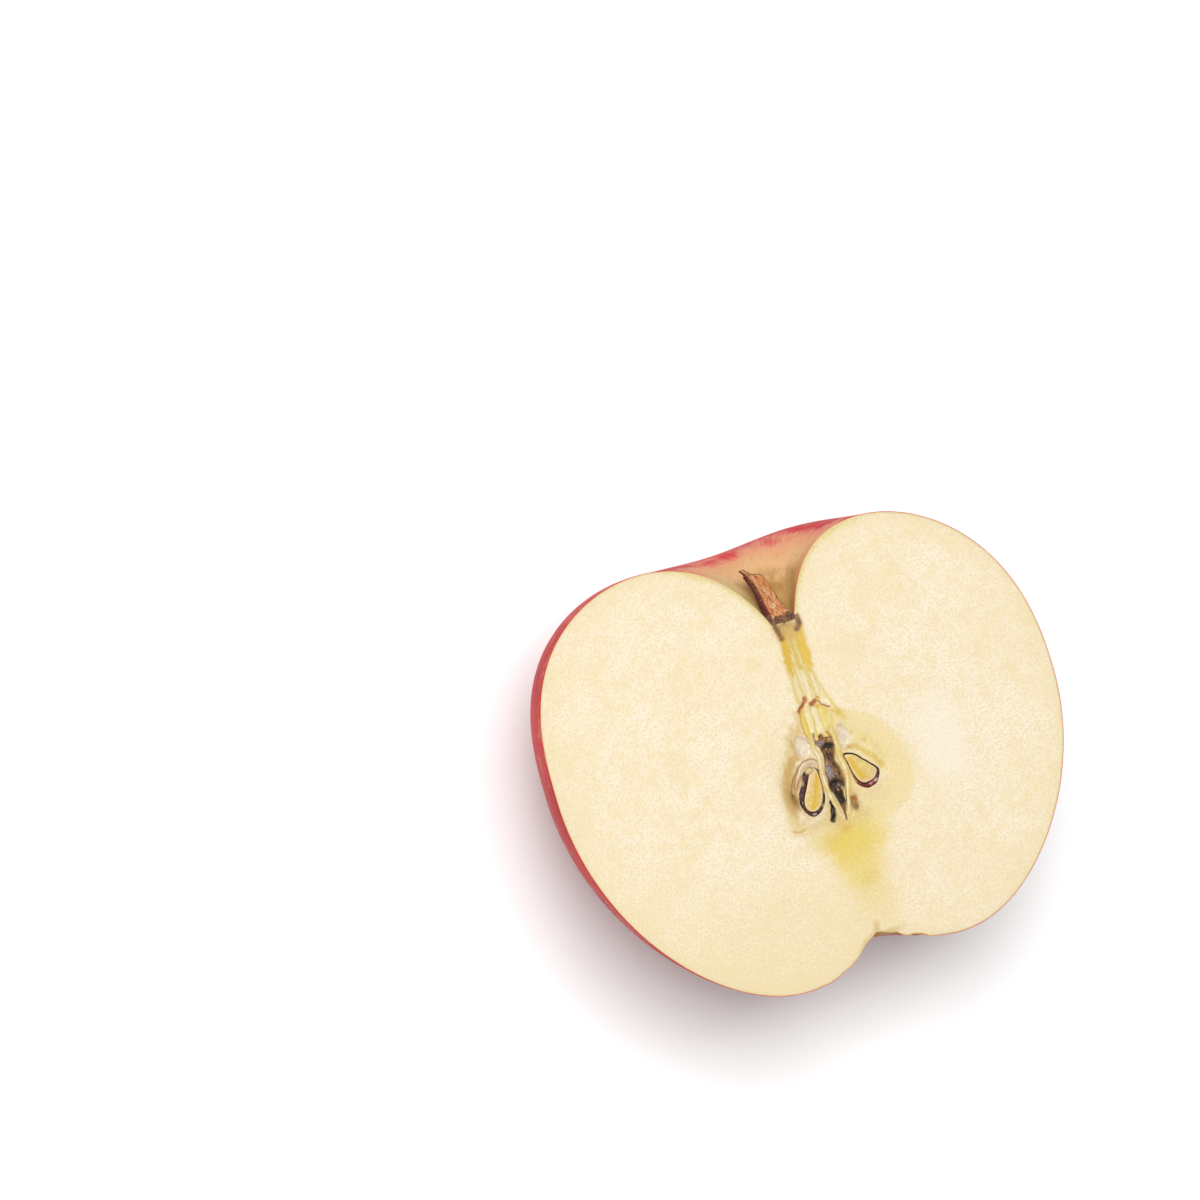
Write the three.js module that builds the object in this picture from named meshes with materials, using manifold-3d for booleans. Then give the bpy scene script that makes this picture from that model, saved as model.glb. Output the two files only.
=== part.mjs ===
// Half of a large dessert apple, cut lengthwise through the stem and the calyx. It lies on its
// rounded back with the cut face up, and shows the stem, the open core and two cut seeds.
//
// Millimetres, +Z up. +X runs across the cut face and +Y along the core towards the stem. The
// origin is in the middle of the bounding box's base. All shapes are worked out about the middle
// of the core, which lies in the cut plane, and the group then lifts them to where they belong.
import * as THREE from 'three';
import { mergeVertices } from 'three/addons/utils/BufferGeometryUtils.js';
import Module from 'manifold-3d';

const wasm = await Module();
wasm.setup();

// Where the middle of the core lies in the part's frame. Its height is the height of the part.
const CORE_MIDDLE = new THREE.Vector3(0.80, -5.467, 41.20);

// The skin's outline in a half-plane through the core line, for three sides of the fruit. Two
// superellipses meet at the waist, where the girth is widest. The crown rises above the waist
// and the base drops below it, each with its own power. The stem well and the calyx well then
// sink exponentially towards the core line, by their depth, over their spread.
const RIGHT_SIDE = {
  girth: 41.5, waist: 6.3,
  crown: 37.1, crownPower: 2.30, base: 41.1, basePower: 1.94,
  stemDepth: 29.9, stemSpread: 4.4, stemPower: 0.64,
  calyxDepth: 11.0, calyxSpread: 13.8, calyxPower: 1.47,
};
const LEFT_SIDE = {
  girth: 43.1, waist: 10.7,
  crown: 33.9, crownPower: 2.70, base: 44.9, basePower: 1.92,
  stemDepth: 24.1, stemSpread: 9.0, stemPower: 0.88,
  calyxDepth: 10.5, calyxSpread: 10.6, calyxPower: 1.17,
};
const BACK_SIDE = {
  girth: 42.0, waist: 7.0,
  crown: 37.4, crownPower: 2.45, base: 36.2, basePower: 1.93,
  stemDepth: 27.0, stemSpread: 6.5, stemPower: 0.75,
  calyxDepth: 5.5, calyxSpread: 12.0, calyxPower: 1.35,
};

// Five soft ribs run from stem to calyx. Each row gives how far a rib stands out at one place:
// on the shoulders and round the calyx it lifts the edge, and at the waist it widens the girth.
const RIBS = 5;
const SHOULDER_RIB = { height: 0.15, radius: 20, spread: 10 };
const CALYX_RIB = { height: 0.2, radius: 13, spread: 7 };
const WAIST_RIB = 0.2;

// The shoulder round the stem well isn't level: it is high at the back right, low at the back
// left, and true again where the knife cut it.
const SHOULDER_LEAN = { height: 0.8, turns: 1.6 };

// The stem well ends in a small floor, which carries the stem's foot.
const STEM_WELL_FLOOR = { height: 26.3, reach: 5 };

const SKIN_RINGS = 62;
const SKIN_SIDES = 96;
const POLE_MARGIN = 0.03;
const RING_CROWDING = 1.6;

// Seeds, cells and cracks are all pointed ovals, given by their tip and their round end in the
// cut plane, their width there, and how deep their half reaches below it.
const SEED_CUTS = {
  left: { tip: [-2.3, 3.9], butt: [-4.6, -3.6], width: 4.2, depth: 1.9 },
  right: { tip: [3.1, 4.3], butt: [6.9, -1.8], width: 4.3, depth: 1.9 },
};
const CORE_CAVITY = { tip: [0.4, -5.6], butt: [0.7, 8.4], width: 2.7, depth: 3.0 };
const CORE_CRACK = { tip: [-1.7, -5.2], butt: [-1.1, -2.1], width: 0.9, depth: 1.3 };
const COAT_THICKNESS = 0.35;
const FIT_GAP = 0.3;
const OVAL_RINGS = 14;
const OVAL_SIDES = 20;
const OVAL_POINTEDNESS = 0.8;

// The stem leans to the left out of its well and is snapped off on a slant.
const STEM_FOOT = new THREE.Vector3(-0.35, 26.6, 0);
const STEM_BEND = new THREE.Vector3(-1.4, 30.8, 0);
const STEM_TOP = new THREE.Vector3(-3.4, 36.6, 0);
const STEM_BREAK_LOW = new THREE.Vector2(-1.4, 34.4);
const STEM_BREAK_HIGH = new THREE.Vector2(-4.6, 35.6);
const STEM_WIDTH = 2.3;
const STEM_FOOT_FLARE = 0.4;
const STEM_DEPTH = 1.7;
const STEM_GROOVES = 7;
const STEM_GROOVE_DEPTH = 0.05;
const STEM_RINGS = 12;
const STEM_SIDES = 28;

const KNIFE_SIZE = 200;

/** A closed geometry as a solid, with the corners that its faces share merged. */
function solidFrom(geometry) {
  geometry.deleteAttribute('normal');
  geometry.deleteAttribute('uv');
  const merged = mergeVertices(geometry);
  const vertProperties = new Float32Array(merged.getAttribute('position').array);
  const triVerts = new Uint32Array(merged.getIndex().array);
  return new wasm.Manifold(new wasm.Mesh({ numProp: 3, vertProperties, triVerts }));
}

/** A closed solid through rings of points, its two ends closed by fans. */
function loft(rings) {
  const sides = rings[0].length;
  const points = rings.flat();
  const faces = [];
  for (let ring = 0; ring + 1 < rings.length; ring += 1) {
    for (let side = 0; side < sides; side += 1) {
      const here = ring * sides + side;
      const next = ring * sides + (side + 1) % sides;
      faces.push(here, next + sides, next);
      faces.push(here, here + sides, next + sides);
    }
  }
  for (const ring of [0, rings.length - 1]) {
    const middle = new THREE.Vector3();
    rings[ring].forEach((point) => middle.addScaledVector(point, 1 / sides));
    const hub = points.push(middle) - 1;
    for (let side = 0; side < sides; side += 1) {
      const edge = [ring * sides + side, ring * sides + (side + 1) % sides];
      if (ring > 0) {
        edge.reverse();
      }
      faces.push(hub, ...edge);
    }
  }
  const geometry = new THREE.BufferGeometry().setFromPoints(points);
  geometry.setIndex(faces);
  return solidFrom(geometry);
}

/** A block as a solid, its middle at a point and turned about Z. */
function block(middle, turn) {
  const box = new THREE.BoxGeometry(KNIFE_SIZE, KNIFE_SIZE, KNIFE_SIZE);
  box.rotateZ(turn);
  box.translate(middle.x, middle.y, middle.z);
  return solidFrom(box);
}

const abovePlane = block(new THREE.Vector3(0, 0, KNIFE_SIZE / 2), 0);

/** What the knife leaves of a solid: the half that lies below the cut plane. */
function halve(solid) {
  return solid.subtract(abovePlane);
}

/** The outline's numbers at an azimuth: 0 is the right side, 90 degrees the back, 180 the left. */
function outlineAt(azimuth) {
  const back = Math.sin(azimuth) ** 2;
  const right = (1 - back) * (1 + Math.cos(azimuth)) / 2;
  const left = 1 - back - right;
  const outline = {};
  for (const key of Object.keys(BACK_SIDE)) {
    outline[key] = right * RIGHT_SIDE[key] + left * LEFT_SIDE[key] + back * BACK_SIDE[key];
  }
  return outline;
}

/** A bell-shaped share, 1 at a rib's radius and fading over its spread. */
function bell(radius, rib) {
  return Math.exp(-(((radius - rib.radius) / rib.spread) ** 2));
}

/** A point of the skin. The swing runs from 0 at the stem to 180 degrees at the calyx. */
function skinPoint(swing, azimuth) {
  const outline = outlineAt(azimuth);
  const rib = -Math.sin(RIBS * azimuth);
  const up = Math.cos(swing) > 0;
  const power = up ? outline.crownPower : outline.basePower;
  const across = Math.sin(swing) ** (2 / power);
  const along = Math.abs(Math.cos(swing)) ** (2 / power);
  const radius = outline.girth * across + WAIST_RIB * rib * across ** 2;
  let height = outline.waist;
  if (up) {
    const well = Math.exp(-((radius / outline.stemSpread) ** outline.stemPower));
    height += outline.crown * along - outline.stemDepth * well;
    const lean = Math.sin(azimuth) * Math.cos(SHOULDER_LEAN.turns * azimuth);
    const lift = SHOULDER_RIB.height * rib + SHOULDER_LEAN.height * lean;
    height += lift * bell(radius, SHOULDER_RIB);
    if (radius < STEM_WELL_FLOOR.reach) {
      height = Math.max(height, STEM_WELL_FLOOR.height);
    }
  } else {
    const well = Math.exp(-((radius / outline.calyxSpread) ** outline.calyxPower));
    height += outline.calyxDepth * well - outline.base * along;
    height -= CALYX_RIB.height * rib * bell(radius, CALYX_RIB);
  }
  return new THREE.Vector3(radius * Math.cos(azimuth), height, -radius * Math.sin(azimuth));
}

/** The whole fruit's skin, with its rings crowded together towards the two wells. */
function wholeFruit() {
  const rings = [];
  for (let ring = 0; ring <= SKIN_RINGS; ring += 1) {
    const share = POLE_MARGIN + (1 - 2 * POLE_MARGIN) * ring / SKIN_RINGS;
    const stemPull = share ** RING_CROWDING;
    const calyxPull = (1 - share) ** RING_CROWDING;
    const swing = Math.PI * stemPull / (stemPull + calyxPull);
    const points = [];
    for (let side = 0; side < SKIN_SIDES; side += 1) {
      points.push(skinPoint(swing, 2 * Math.PI * side / SKIN_SIDES));
    }
    rings.push(points);
  }
  return loft(rings);
}

/** A pointed oval, grown on all sides by a margin, before the knife goes through it. */
function pointedOval({ tip, butt, width, depth }, margin) {
  const along = new THREE.Vector2(...tip).sub(new THREE.Vector2(...butt)).normalize();
  const start = new THREE.Vector2(...butt).addScaledVector(along, -margin);
  const end = new THREE.Vector2(...tip).addScaledVector(along, margin);
  const widest = 2 * Math.atan(Math.sqrt(1 + OVAL_POINTEDNESS));
  const fullness = (angle) => Math.sin(angle) * Math.sin(angle / 2) ** OVAL_POINTEDNESS;
  const rings = [];
  for (let ring = 1; ring < OVAL_RINGS; ring += 1) {
    const angle = Math.PI * ring / OVAL_RINGS;
    const middle = end.clone().lerp(start, (1 - Math.cos(angle)) / 2);
    const swell = fullness(angle) / fullness(widest);
    const points = [];
    for (let side = 0; side < OVAL_SIDES; side += 1) {
      const round = 2 * Math.PI * side / OVAL_SIDES;
      const out = (width / 2 + margin) * swell * Math.cos(round);
      const down = (depth + margin) * swell * Math.sin(round);
      points.push(new THREE.Vector3(middle.x - along.y * out, middle.y + along.x * out, down));
    }
    rings.push(points);
  }
  return loft(rings);
}

/** The stem before the knife: a grooved rod along a bend, snapped off on a slant. */
function wholeStem() {
  const route = new THREE.QuadraticBezierCurve3(STEM_FOOT, STEM_BEND, STEM_TOP);
  const rings = [];
  for (let ring = 0; ring <= STEM_RINGS; ring += 1) {
    const share = ring / STEM_RINGS;
    const middle = route.getPoint(share);
    const along = route.getTangent(share).lerp(new THREE.Vector3(0, 1, 0), 1 - share).normalize();
    const halfWidth = (STEM_WIDTH + STEM_FOOT_FLARE * (1 - share) ** 3) / 2;
    const points = [];
    for (let side = 0; side < STEM_SIDES; side += 1) {
      const round = 2 * Math.PI * side / STEM_SIDES;
      const groove = 1 + STEM_GROOVE_DEPTH * Math.sin(STEM_GROOVES * round);
      const out = halfWidth * groove * Math.cos(round);
      const down = STEM_DEPTH * groove * Math.sin(round);
      points.push(new THREE.Vector3(middle.x + along.y * out, middle.y - along.x * out, down));
    }
    rings.push(points);
  }
  const slant = STEM_BREAK_LOW.clone().sub(STEM_BREAK_HIGH);
  const waste = new THREE.Vector2(-slant.y, slant.x).normalize().multiplyScalar(KNIFE_SIZE / 2);
  const middle = STEM_BREAK_LOW.clone().add(waste);
  return loft(rings).subtract(block(new THREE.Vector3(middle.x, middle.y, 0), slant.angle()));
}

/** The flesh with its skin: the halved fruit, hollowed for the core and flattened underneath. */
function bodyHalf() {
  const underneath = new THREE.Vector3(0, 0, -CORE_MIDDLE.z - KNIFE_SIZE / 2);
  let half = halve(wholeFruit()).subtract(block(underneath, 0));
  for (const hollow of [CORE_CAVITY, CORE_CRACK]) {
    half = half.subtract(pointedOval(hollow, 0));
  }
  for (const seed of Object.values(SEED_CUTS)) {
    half = half.subtract(pointedOval(seed, FIT_GAP));
  }
  return half;
}

/** One seed's coat: a thin cup whose rim lies in the cut plane. */
function seedCoat(seed) {
  return halve(pointedOval(seed, 0).subtract(pointedOval(seed, -COAT_THICKNESS)));
}

/** One seed's kernel, lying loose in its coat. */
function seedKernel(seed) {
  return halve(pointedOval(seed, -COAT_THICKNESS - FIT_GAP));
}

const fleshMaterial = new THREE.MeshStandardMaterial({ color: 0xf8e6c4, roughness: 0.55 });
const barkMaterial = new THREE.MeshStandardMaterial({ color: 0x8a4a25, roughness: 0.85 });
const coatMaterial = new THREE.MeshStandardMaterial({ color: 0x2e1210, roughness: 0.45 });
const kernelMaterial = new THREE.MeshStandardMaterial({ color: 0xe2c56a, roughness: 0.6 });

const appleHalf = new THREE.Group();
appleHalf.position.copy(CORE_MIDDLE);

/** Puts one solid into the group as a named mesh. */
function addPiece(name, solid, material) {
  const { numProp, vertProperties, triVerts } = solid.getMesh();
  const geometry = new THREE.BufferGeometry();
  geometry.setAttribute('position', new THREE.BufferAttribute(vertProperties, numProp));
  geometry.setIndex(new THREE.BufferAttribute(triVerts, 1));
  geometry.computeVertexNormals();
  const mesh = new THREE.Mesh(geometry, material);
  mesh.name = name;
  appleHalf.add(mesh);
}

addPiece('body_half', bodyHalf(), fleshMaterial);
addPiece('stem_half', halve(wholeStem()), barkMaterial);
for (const [side, seed] of Object.entries(SEED_CUTS)) {
  addPiece(`seed_coat_${side}`, seedCoat(seed), coatMaterial);
  addPiece(`seed_kernel_${side}`, seedKernel(seed), kernelMaterial);
}

export default appleHalf;
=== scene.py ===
import math

import bpy
import numpy as np
from mathutils import Matrix, Vector


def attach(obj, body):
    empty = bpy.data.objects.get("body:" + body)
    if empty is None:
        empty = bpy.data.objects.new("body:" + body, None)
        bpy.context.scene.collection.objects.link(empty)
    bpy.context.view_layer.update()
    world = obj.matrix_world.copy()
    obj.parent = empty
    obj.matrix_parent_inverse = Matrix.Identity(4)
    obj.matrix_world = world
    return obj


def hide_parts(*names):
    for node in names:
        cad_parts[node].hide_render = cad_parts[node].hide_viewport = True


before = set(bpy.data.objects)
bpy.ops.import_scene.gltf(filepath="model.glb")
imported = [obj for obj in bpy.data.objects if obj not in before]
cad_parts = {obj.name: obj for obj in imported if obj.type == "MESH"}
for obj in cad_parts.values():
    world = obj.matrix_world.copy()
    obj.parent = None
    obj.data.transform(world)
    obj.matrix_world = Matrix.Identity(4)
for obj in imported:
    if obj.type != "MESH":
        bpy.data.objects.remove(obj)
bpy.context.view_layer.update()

# ---------------------------------------------------------------------------------------------
# Camera. A long lens looks down on the cut face, a little from its left and from below the
# stem's end, and is rolled so that the stem leans to the left. The core lies off its axis.
VIEW_TURN = math.radians(21.5)
VIEW_LIFT = math.radians(7.0)
VIEW_ROLL = math.radians(16.5)
VIEW_DISTANCE = 463.0
LENS, SENSOR = 90.0, 36.0
PICTURE_SIDE = 1200
CORE_IN_PICTURE = (833, 785)

MM = 0.001
CORE_MIDDLE = np.array((0.80, -5.467, 41.20))


def to_frame(points):
    """Points in millimetres about the core's middle, as metres in the frame."""
    return (np.asarray(points, float) + CORE_MIDDLE) * MM


towards = Vector((-math.sin(VIEW_TURN) * math.cos(VIEW_LIFT), math.sin(VIEW_LIFT),
                  math.cos(VIEW_TURN) * math.cos(VIEW_LIFT)))
level = Vector((0, 1, 0)).cross(towards).normalized()
upright = towards.cross(level)
rolled_up = upright * math.cos(VIEW_ROLL) + level * math.sin(VIEW_ROLL)
rolled_right = level * math.cos(VIEW_ROLL) - upright * math.sin(VIEW_ROLL)
centred = Matrix((rolled_right, rolled_up, towards)).transposed()
pixels_per_unit = PICTURE_SIDE * LENS / SENSOR
off_axis = Vector(((CORE_IN_PICTURE[0] - PICTURE_SIDE / 2) / pixels_per_unit,
                   (PICTURE_SIDE / 2 - CORE_IN_PICTURE[1]) / pixels_per_unit, -1))
aim = centred @ off_axis.rotation_difference(Vector((0, 0, -1))).to_matrix()

camera = bpy.data.objects.new("camera", bpy.data.cameras.new("camera"))
camera.data.lens = LENS
camera.data.sensor_width = SENSOR
camera.data.clip_end = 10
camera.matrix_world = Matrix.Translation(to_frame(np.array(towards) * VIEW_DISTANCE)) @ aim.to_4x4()
bpy.context.scene.collection.objects.link(camera)
bpy.context.scene.camera = camera
bpy.context.scene.view_settings.view_transform = "Standard"

# ---------------------------------------------------------------------------------------------
# Flesh. One closed body of pale, finely grained flesh, whose cut face carries the hollows of the
# seed cells, the open core and the bruises and stains round them. Its skin side follows the same
# outlines as the solid, a little inside them, because the peel lies over it.
SIDES = {  # right, left and back of the fruit
    "girth": (41.5, 43.1, 42.0), "waist": (6.3, 10.7, 7.0),
    "crown": (37.1, 33.9, 37.4), "crown_power": (2.30, 2.70, 2.45),
    "base": (41.1, 44.9, 36.2), "base_power": (1.94, 1.92, 1.93),
    "stem_depth": (29.9, 24.1, 27.0), "stem_spread": (4.4, 9.0, 6.5),
    "stem_power": (0.64, 0.88, 0.75),
    "calyx_depth": (11.0, 10.5, 5.5), "calyx_spread": (13.8, 10.6, 12.0),
    "calyx_power": (1.47, 1.17, 1.35),
}
RIBS, SHOULDER_RIB, CALYX_RIB, WAIST_RIB = 5, 0.15, 0.2, 0.2
WAIST_FADE = 10
SHOULDER_LEAN, LEAN_TURNS = 0.8, 1.6
SHOULDER_RADIUS, SHOULDER_SPREAD = 20, 10
CALYX_RADIUS, CALYX_RIB_SPREAD = 13, 7
CALYX_RAG = 0.42
WELL_FLOOR, WELL_FLOOR_REACH = 26.3, 5
FLAT_SPOT = -41.17


def skin_radius_height(swing, azimuth):
    """How far from the core line and how high a point of the skin is."""
    back = np.sin(azimuth) ** 2
    right = (1 - back) * (1 + np.cos(azimuth)) / 2
    side = {key: right * r + (1 - back - right) * l + back * b for key, (r, l, b) in SIDES.items()}
    rib = -np.sin(RIBS * azimuth)
    up = np.cos(swing) > 0
    power = np.where(up, side["crown_power"], side["base_power"])
    across = np.maximum(np.sin(swing), 0) ** (2 / power)
    along = np.abs(np.cos(swing)) ** (2 / power)
    radius = side["girth"] * across + WAIST_RIB * rib * across ** 2
    lean = np.sin(azimuth) * np.cos(LEAN_TURNS * azimuth)
    shoulder = np.exp(-((radius - SHOULDER_RADIUS) / SHOULDER_SPREAD) ** 2)
    above_waist = 1 - across ** WAIST_FADE
    well = np.exp(-(radius / side["stem_spread"]) ** side["stem_power"]) * above_waist
    crown = side["waist"] + side["crown"] * along - side["stem_depth"] * well
    crown = crown + (SHOULDER_RIB * rib + SHOULDER_LEAN * lean) * shoulder
    crown = np.where(radius < WELL_FLOOR_REACH, np.maximum(crown, WELL_FLOOR), crown)
    basin = np.exp(-(radius / side["calyx_spread"]) ** side["calyx_power"]) * above_waist
    foot = np.exp(-((radius - CALYX_RADIUS) / CALYX_RIB_SPREAD) ** 2)
    base = side["waist"] + side["calyx_depth"] * basin - side["base"] * along
    base = base - CALYX_RIB * rib * foot
    ragged = lumps(radius * np.cos(azimuth), radius * np.sin(azimuth), 1.8, 11)
    base = base + CALYX_RAG * ragged * (np.exp(-(radius / 11) ** 6) - np.exp(-(radius / 1.2) ** 2))
    return radius, np.where(up, crown, base)


def skin(swing, azimuth):
    """A point of the skin. The swing runs from 0 at the stem to pi at the calyx."""
    radius, height = skin_radius_height(swing, azimuth)
    return np.stack((radius * np.cos(azimuth), height, -radius * np.sin(azimuth)), -1)


def under_skin(swing, azimuth, inset):
    """A point that lies inside the skin by an inset, square to it."""
    step = 1e-4
    steady = np.clip(swing, 0.02, math.pi - 0.02)
    down = skin(steady + step, azimuth) - skin(steady - step, azimuth)
    round_it = skin(steady, azimuth + step) - skin(steady, azimuth - step)
    outward = np.cross(down, round_it)
    in_plane = (azimuth < 1e-6) | (azimuth > math.pi - 1e-6)
    outward[..., 2] = np.where(in_plane, 0, outward[..., 2])
    outward /= np.linalg.norm(outward, axis=-1, keepdims=True)
    point = skin(swing, azimuth) - np.asarray(inset)[..., None] * outward
    point[..., 2] = np.where(in_plane, 0, np.clip(point[..., 2], FLAT_SPOT + inset, 0))
    return point


def soft_lumps(x, y, size, seed):
    """Soft random heights from -1 to 1, about one lump per size."""
    dice = np.random.RandomState(seed).uniform(-1, 1, (96, 96))
    u, v = np.asarray(x) / size + 31.4, np.asarray(y) / size + 27.1
    i, j = np.floor(u).astype(int), np.floor(v).astype(int)
    s, t = u - i, v - j
    s, t = s * s * (3 - 2 * s), t * t * (3 - 2 * t)
    near = dice[i % 96, j % 96] * (1 - s) + dice[(i + 1) % 96, j % 96] * s
    far = dice[i % 96, (j + 1) % 96] * (1 - s) + dice[(i + 1) % 96, (j + 1) % 96] * s
    return near * (1 - t) + far * t


def lumps(x, y, size, seed):
    """Soft lumps with smaller ones on them."""
    return (soft_lumps(x, y, size, seed) + 0.5 * soft_lumps(x, y, size / 2.1, seed + 1)
            + 0.25 * soft_lumps(x, y, size / 4.3, seed + 2)) / 1.4


def step_up(value, low, high):
    """A smooth step from 0 at low to 1 at high."""
    t = np.clip((value - low) / (high - low), 0, 1)
    return t * t * (3 - 2 * t)


def smooth_loop(corners, count):
    """A smooth closed line through corners, as count points at even turns round its middle."""
    corners = np.asarray(corners, float)
    dense = []
    for k in range(len(corners)):
        a, b, c, d = (corners[(k + n) % len(corners)] for n in (-1, 0, 1, 2))
        for t in np.linspace(0, 1, 24, endpoint=False):
            dense.append(0.5 * (2 * b + (c - a) * t + (2 * a - 5 * b + 4 * c - d) * t ** 2
                                + (3 * b - a - 3 * c + d) * t ** 3))
    dense = np.array(dense)
    middle = (corners.min(0) + corners.max(0)) / 2
    turn = np.arctan2(*(dense - middle).T[::-1])
    far = np.hypot(*(dense - middle).T)
    order = np.argsort(turn)
    turns = np.linspace(-math.pi, math.pi, count, endpoint=False)
    reach = np.interp(turns, turn[order], far[order], period=2 * math.pi)
    return middle, turns, reach


def share_of(x, y, corners):
    """How far a point is on its way from the middle of a closed line, 0, to the line, 1."""
    middle, turns, reach = smooth_loop(corners, 360)
    turn = np.arctan2(y - middle[1], x - middle[0])
    far = np.interp(turn, turns, reach, period=2 * math.pi)
    return np.hypot(x - middle[0], y - middle[1]) / far


def near_line(x, y, line):
    """The distance to a line of corners, and how far along the line its nearest point is."""
    line = np.asarray(line, float)
    best, along, run = np.full(np.shape(x), 1e9), np.zeros(np.shape(x)), 0.0
    spans = np.hypot(*np.diff(line, axis=0).T)
    for (ax, ay), (bx, by), span in zip(line[:-1], line[1:], spans):
        t = np.clip(((x - ax) * (bx - ax) + (y - ay) * (by - ay)) / span ** 2, 0, 1)
        far = np.hypot(x - ax - t * (bx - ax), y - ay - t * (by - ay))
        along = np.where(far < best, (run + t * span) / spans.sum(), along)
        best = np.minimum(best, far)
        run += span
    return best, along


def blot(x, y, middle, size, turn=0):
    """A soft oval blot, 1 in its middle. The turn is in degrees."""
    c, s = math.cos(math.radians(turn)), math.sin(math.radians(turn))
    u, v = (x - middle[0]) * c + (y - middle[1]) * s, (y - middle[1]) * c - (x - middle[0]) * s
    return np.exp(-(u / size[0]) ** 2 - (v / size[1]) ** 2)


# The seeds and the hollows of the core, drawn in the cut plane.
LEFT_COAT = [(-4.1, 2.95), (-4.75, 1.7), (-5.7, 0.1), (-5.95, -1.1), (-5.75, -2.1), (-5.2, -3.1),
             (-4.45, -3.65), (-3.45, -3.5), (-2.5, -2.8), (-1.9, -1.8), (-1.6, -0.7), (-1.55, 0.5),
             (-1.6, 2.0), (-1.65, 3.2), (-2.3, 4.0), (-3.3, 3.8)]
RIGHT_COAT = [(3.15, 4.0), (3.35, 2.35), (3.55, 0.95), (3.75, -0.3), (4.05, -1.1), (4.85, -1.85),
              (5.8, -2.2), (7.2, -1.8), (7.85, -0.9), (8.12, 0.1), (7.07, 1.37), (5.96, 2.47),
              (4.78, 3.6)]
OPEN_CORE_LEFT = [(0.53, -5.65), (0.5, -4.2), (0.2, -2.5), (-0.11, -1.4), (-0.62, -0.43), (-0.5, 0.9),
                  (-0.5, 2.3), (-0.2, 3.7), (-0.05, 5.0), (-0.3, 6.1), (-0.6, 6.8), (-0.6, 7.15)]
OPEN_CORE_RIGHT = [(0.65, -5.65), (0.85, -4.8), (1.05, -3.5), (1.2, -2.5), (1.55, -1.3), (1.95, -0.6),
                   (2.1, 0.9), (2.0, 1.7), (1.7, 2.8), (1.46, 3.6), (1.8, 4.6), (2.15, 5.8), (2.1, 7.15)]
CORE_TIPS = [([(-0.62, 6.8), (-0.68, 7.5), (-0.62, 8.4)], 0.16),
             ([(2.05, 6.8), (1.95, 7.4), (1.7, 8.0)], 0.15), ([(0.47, 7.0), (0.47, 7.65)], 0.42)]
BLACK_HOLES = [((1.3, 5.9), (0.72, 0.40), 0), ((1.05, 4.7), (0.36, 0.52), 0),
               ((0.75, 0.1), (0.95, 0.55), 0), ((0.95, -1.2), (0.75, 1.2), 12),
               ((1.0, -2.6), (0.48, 0.8), 10)]
HOOD_LINE = [(-6.1, 0.8), (-5.75, 1.7), (-5.25, 2.5), (-4.7, 3.1), (-4.15, 3.75), (-3.3, 4.2),
             (-2.4, 4.25), (-1.8, 3.85), (-1.62, 3.2)]
SLIT = [(-0.98, -2.5), (-0.9, -3.2), (-1.15, -4.1), (-1.62, -5.1)]
SIDE_POCKET = [(2.3, -2.5), (2.05, -3.6), (2.3, -4.8), (3.0, -4.9), (3.4, -3.7), (3.1, -2.5)]
LEFT_WINDOW = [(-3.75, 8.9), (-2.9, 8.7), (-2.05, 8.1), (-1.45, 7.1), (-1.5, 6.1), (-1.95, 5.3),
               (-3.4, 5.0), (-4.1, 6.0), (-4.3, 7.4)]
RIGHT_WINDOW = [(3.3, 8.5), (4.4, 8.6), (4.95, 7.4), (5.25, 6.1), (4.85, 5.3), (3.95, 4.8), (3.2, 4.9),
                (3.0, 6.2)]
LEFT_RIB = [(-1.3, 7.6), (-1.23, 5.9), (-0.85, 4.8), (-0.93, 3.5), (-1.08, 2.2), (-1.08, 0.9),
            (-0.95, -0.5), (-0.8, -1.9), (-0.5, -3.3), (-0.1, -4.9)]
RIGHT_RIB = [(2.3, 8.2), (2.5, 7.0), (2.55, 5.9), (2.5, 4.56), (2.6, 3.3), (2.75, 2.07), (2.75, 0.4),
             (2.3, -1.3), (1.8, -3.0), (1.3, -4.8)]
CORE_RING = [(12, 5), (13.6, 2), (14, 0), (13.4, -3), (12, -5), (9.5, -6.6), (7, -7.2),
             (2, -7.4), (-4, -6.6), (-7.6, -5.6), (-9.2, -3), (-8.8, 0), (-8.2, 4), (-6.4, 8),
             (-3.4, 11.5), (0, 13.5), (3.4, 12), (6.5, 10), (9.8, 8)]
MOIST_ZONE = CORE_RING[:7] + [(2, -7.2), (-1, -6.6), (-1.6, -3), (-1, 0), (-1, 5), (-0.4, 10), (0, 13),
                              (3.4, 12), (6.5, 10), (9.8, 8)]
FAN = [(-1.9, 12.5), (-0.4, 13.2), (1.2, 12.9), (2.6, 11.6), (3.2, 10.2), (2.8, 8.6), (2.2, 7.4),
       (0.5, 7.2), (-0.9, 6.6), (-1.6, 7.6), (-2.0, 9.0), (-2.1, 11.0)]
FAN_PANELS = [[(-1.7, 11.7), (-1.25, 11.9), (-1.2, 10.0), (-1.3, 8.3), (-1.7, 8.6), (-1.9, 10.1)],
              [(-0.95, 12.5), (-0.1, 12.7), (0.0, 10.4), (-0.3, 8.0), (-0.8, 7.6), (-0.95, 9.9)],
              [(0.3, 12.5), (1.0, 12.3), (1.15, 10.5), (1.25, 8.3), (0.2, 7.9), (0.3, 10.1)],
              [(1.45, 12.1), (2.3, 11.4), (2.95, 10.3), (2.5, 8.9), (1.7, 7.8), (1.4, 9.9)]]
FAN_LOOKS = [(238, 213, 112), (245, 228, 176), (246, 231, 188), (239, 218, 132)]
BUNDLE_LEFT = [(-1.9, 26.5), (-1.7, 23.3), (-1.85, 21.4), (-2.05, 19.9), (-1.9, 18.4), (-1.9, 15),
               (-1.7, 13)]
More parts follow.
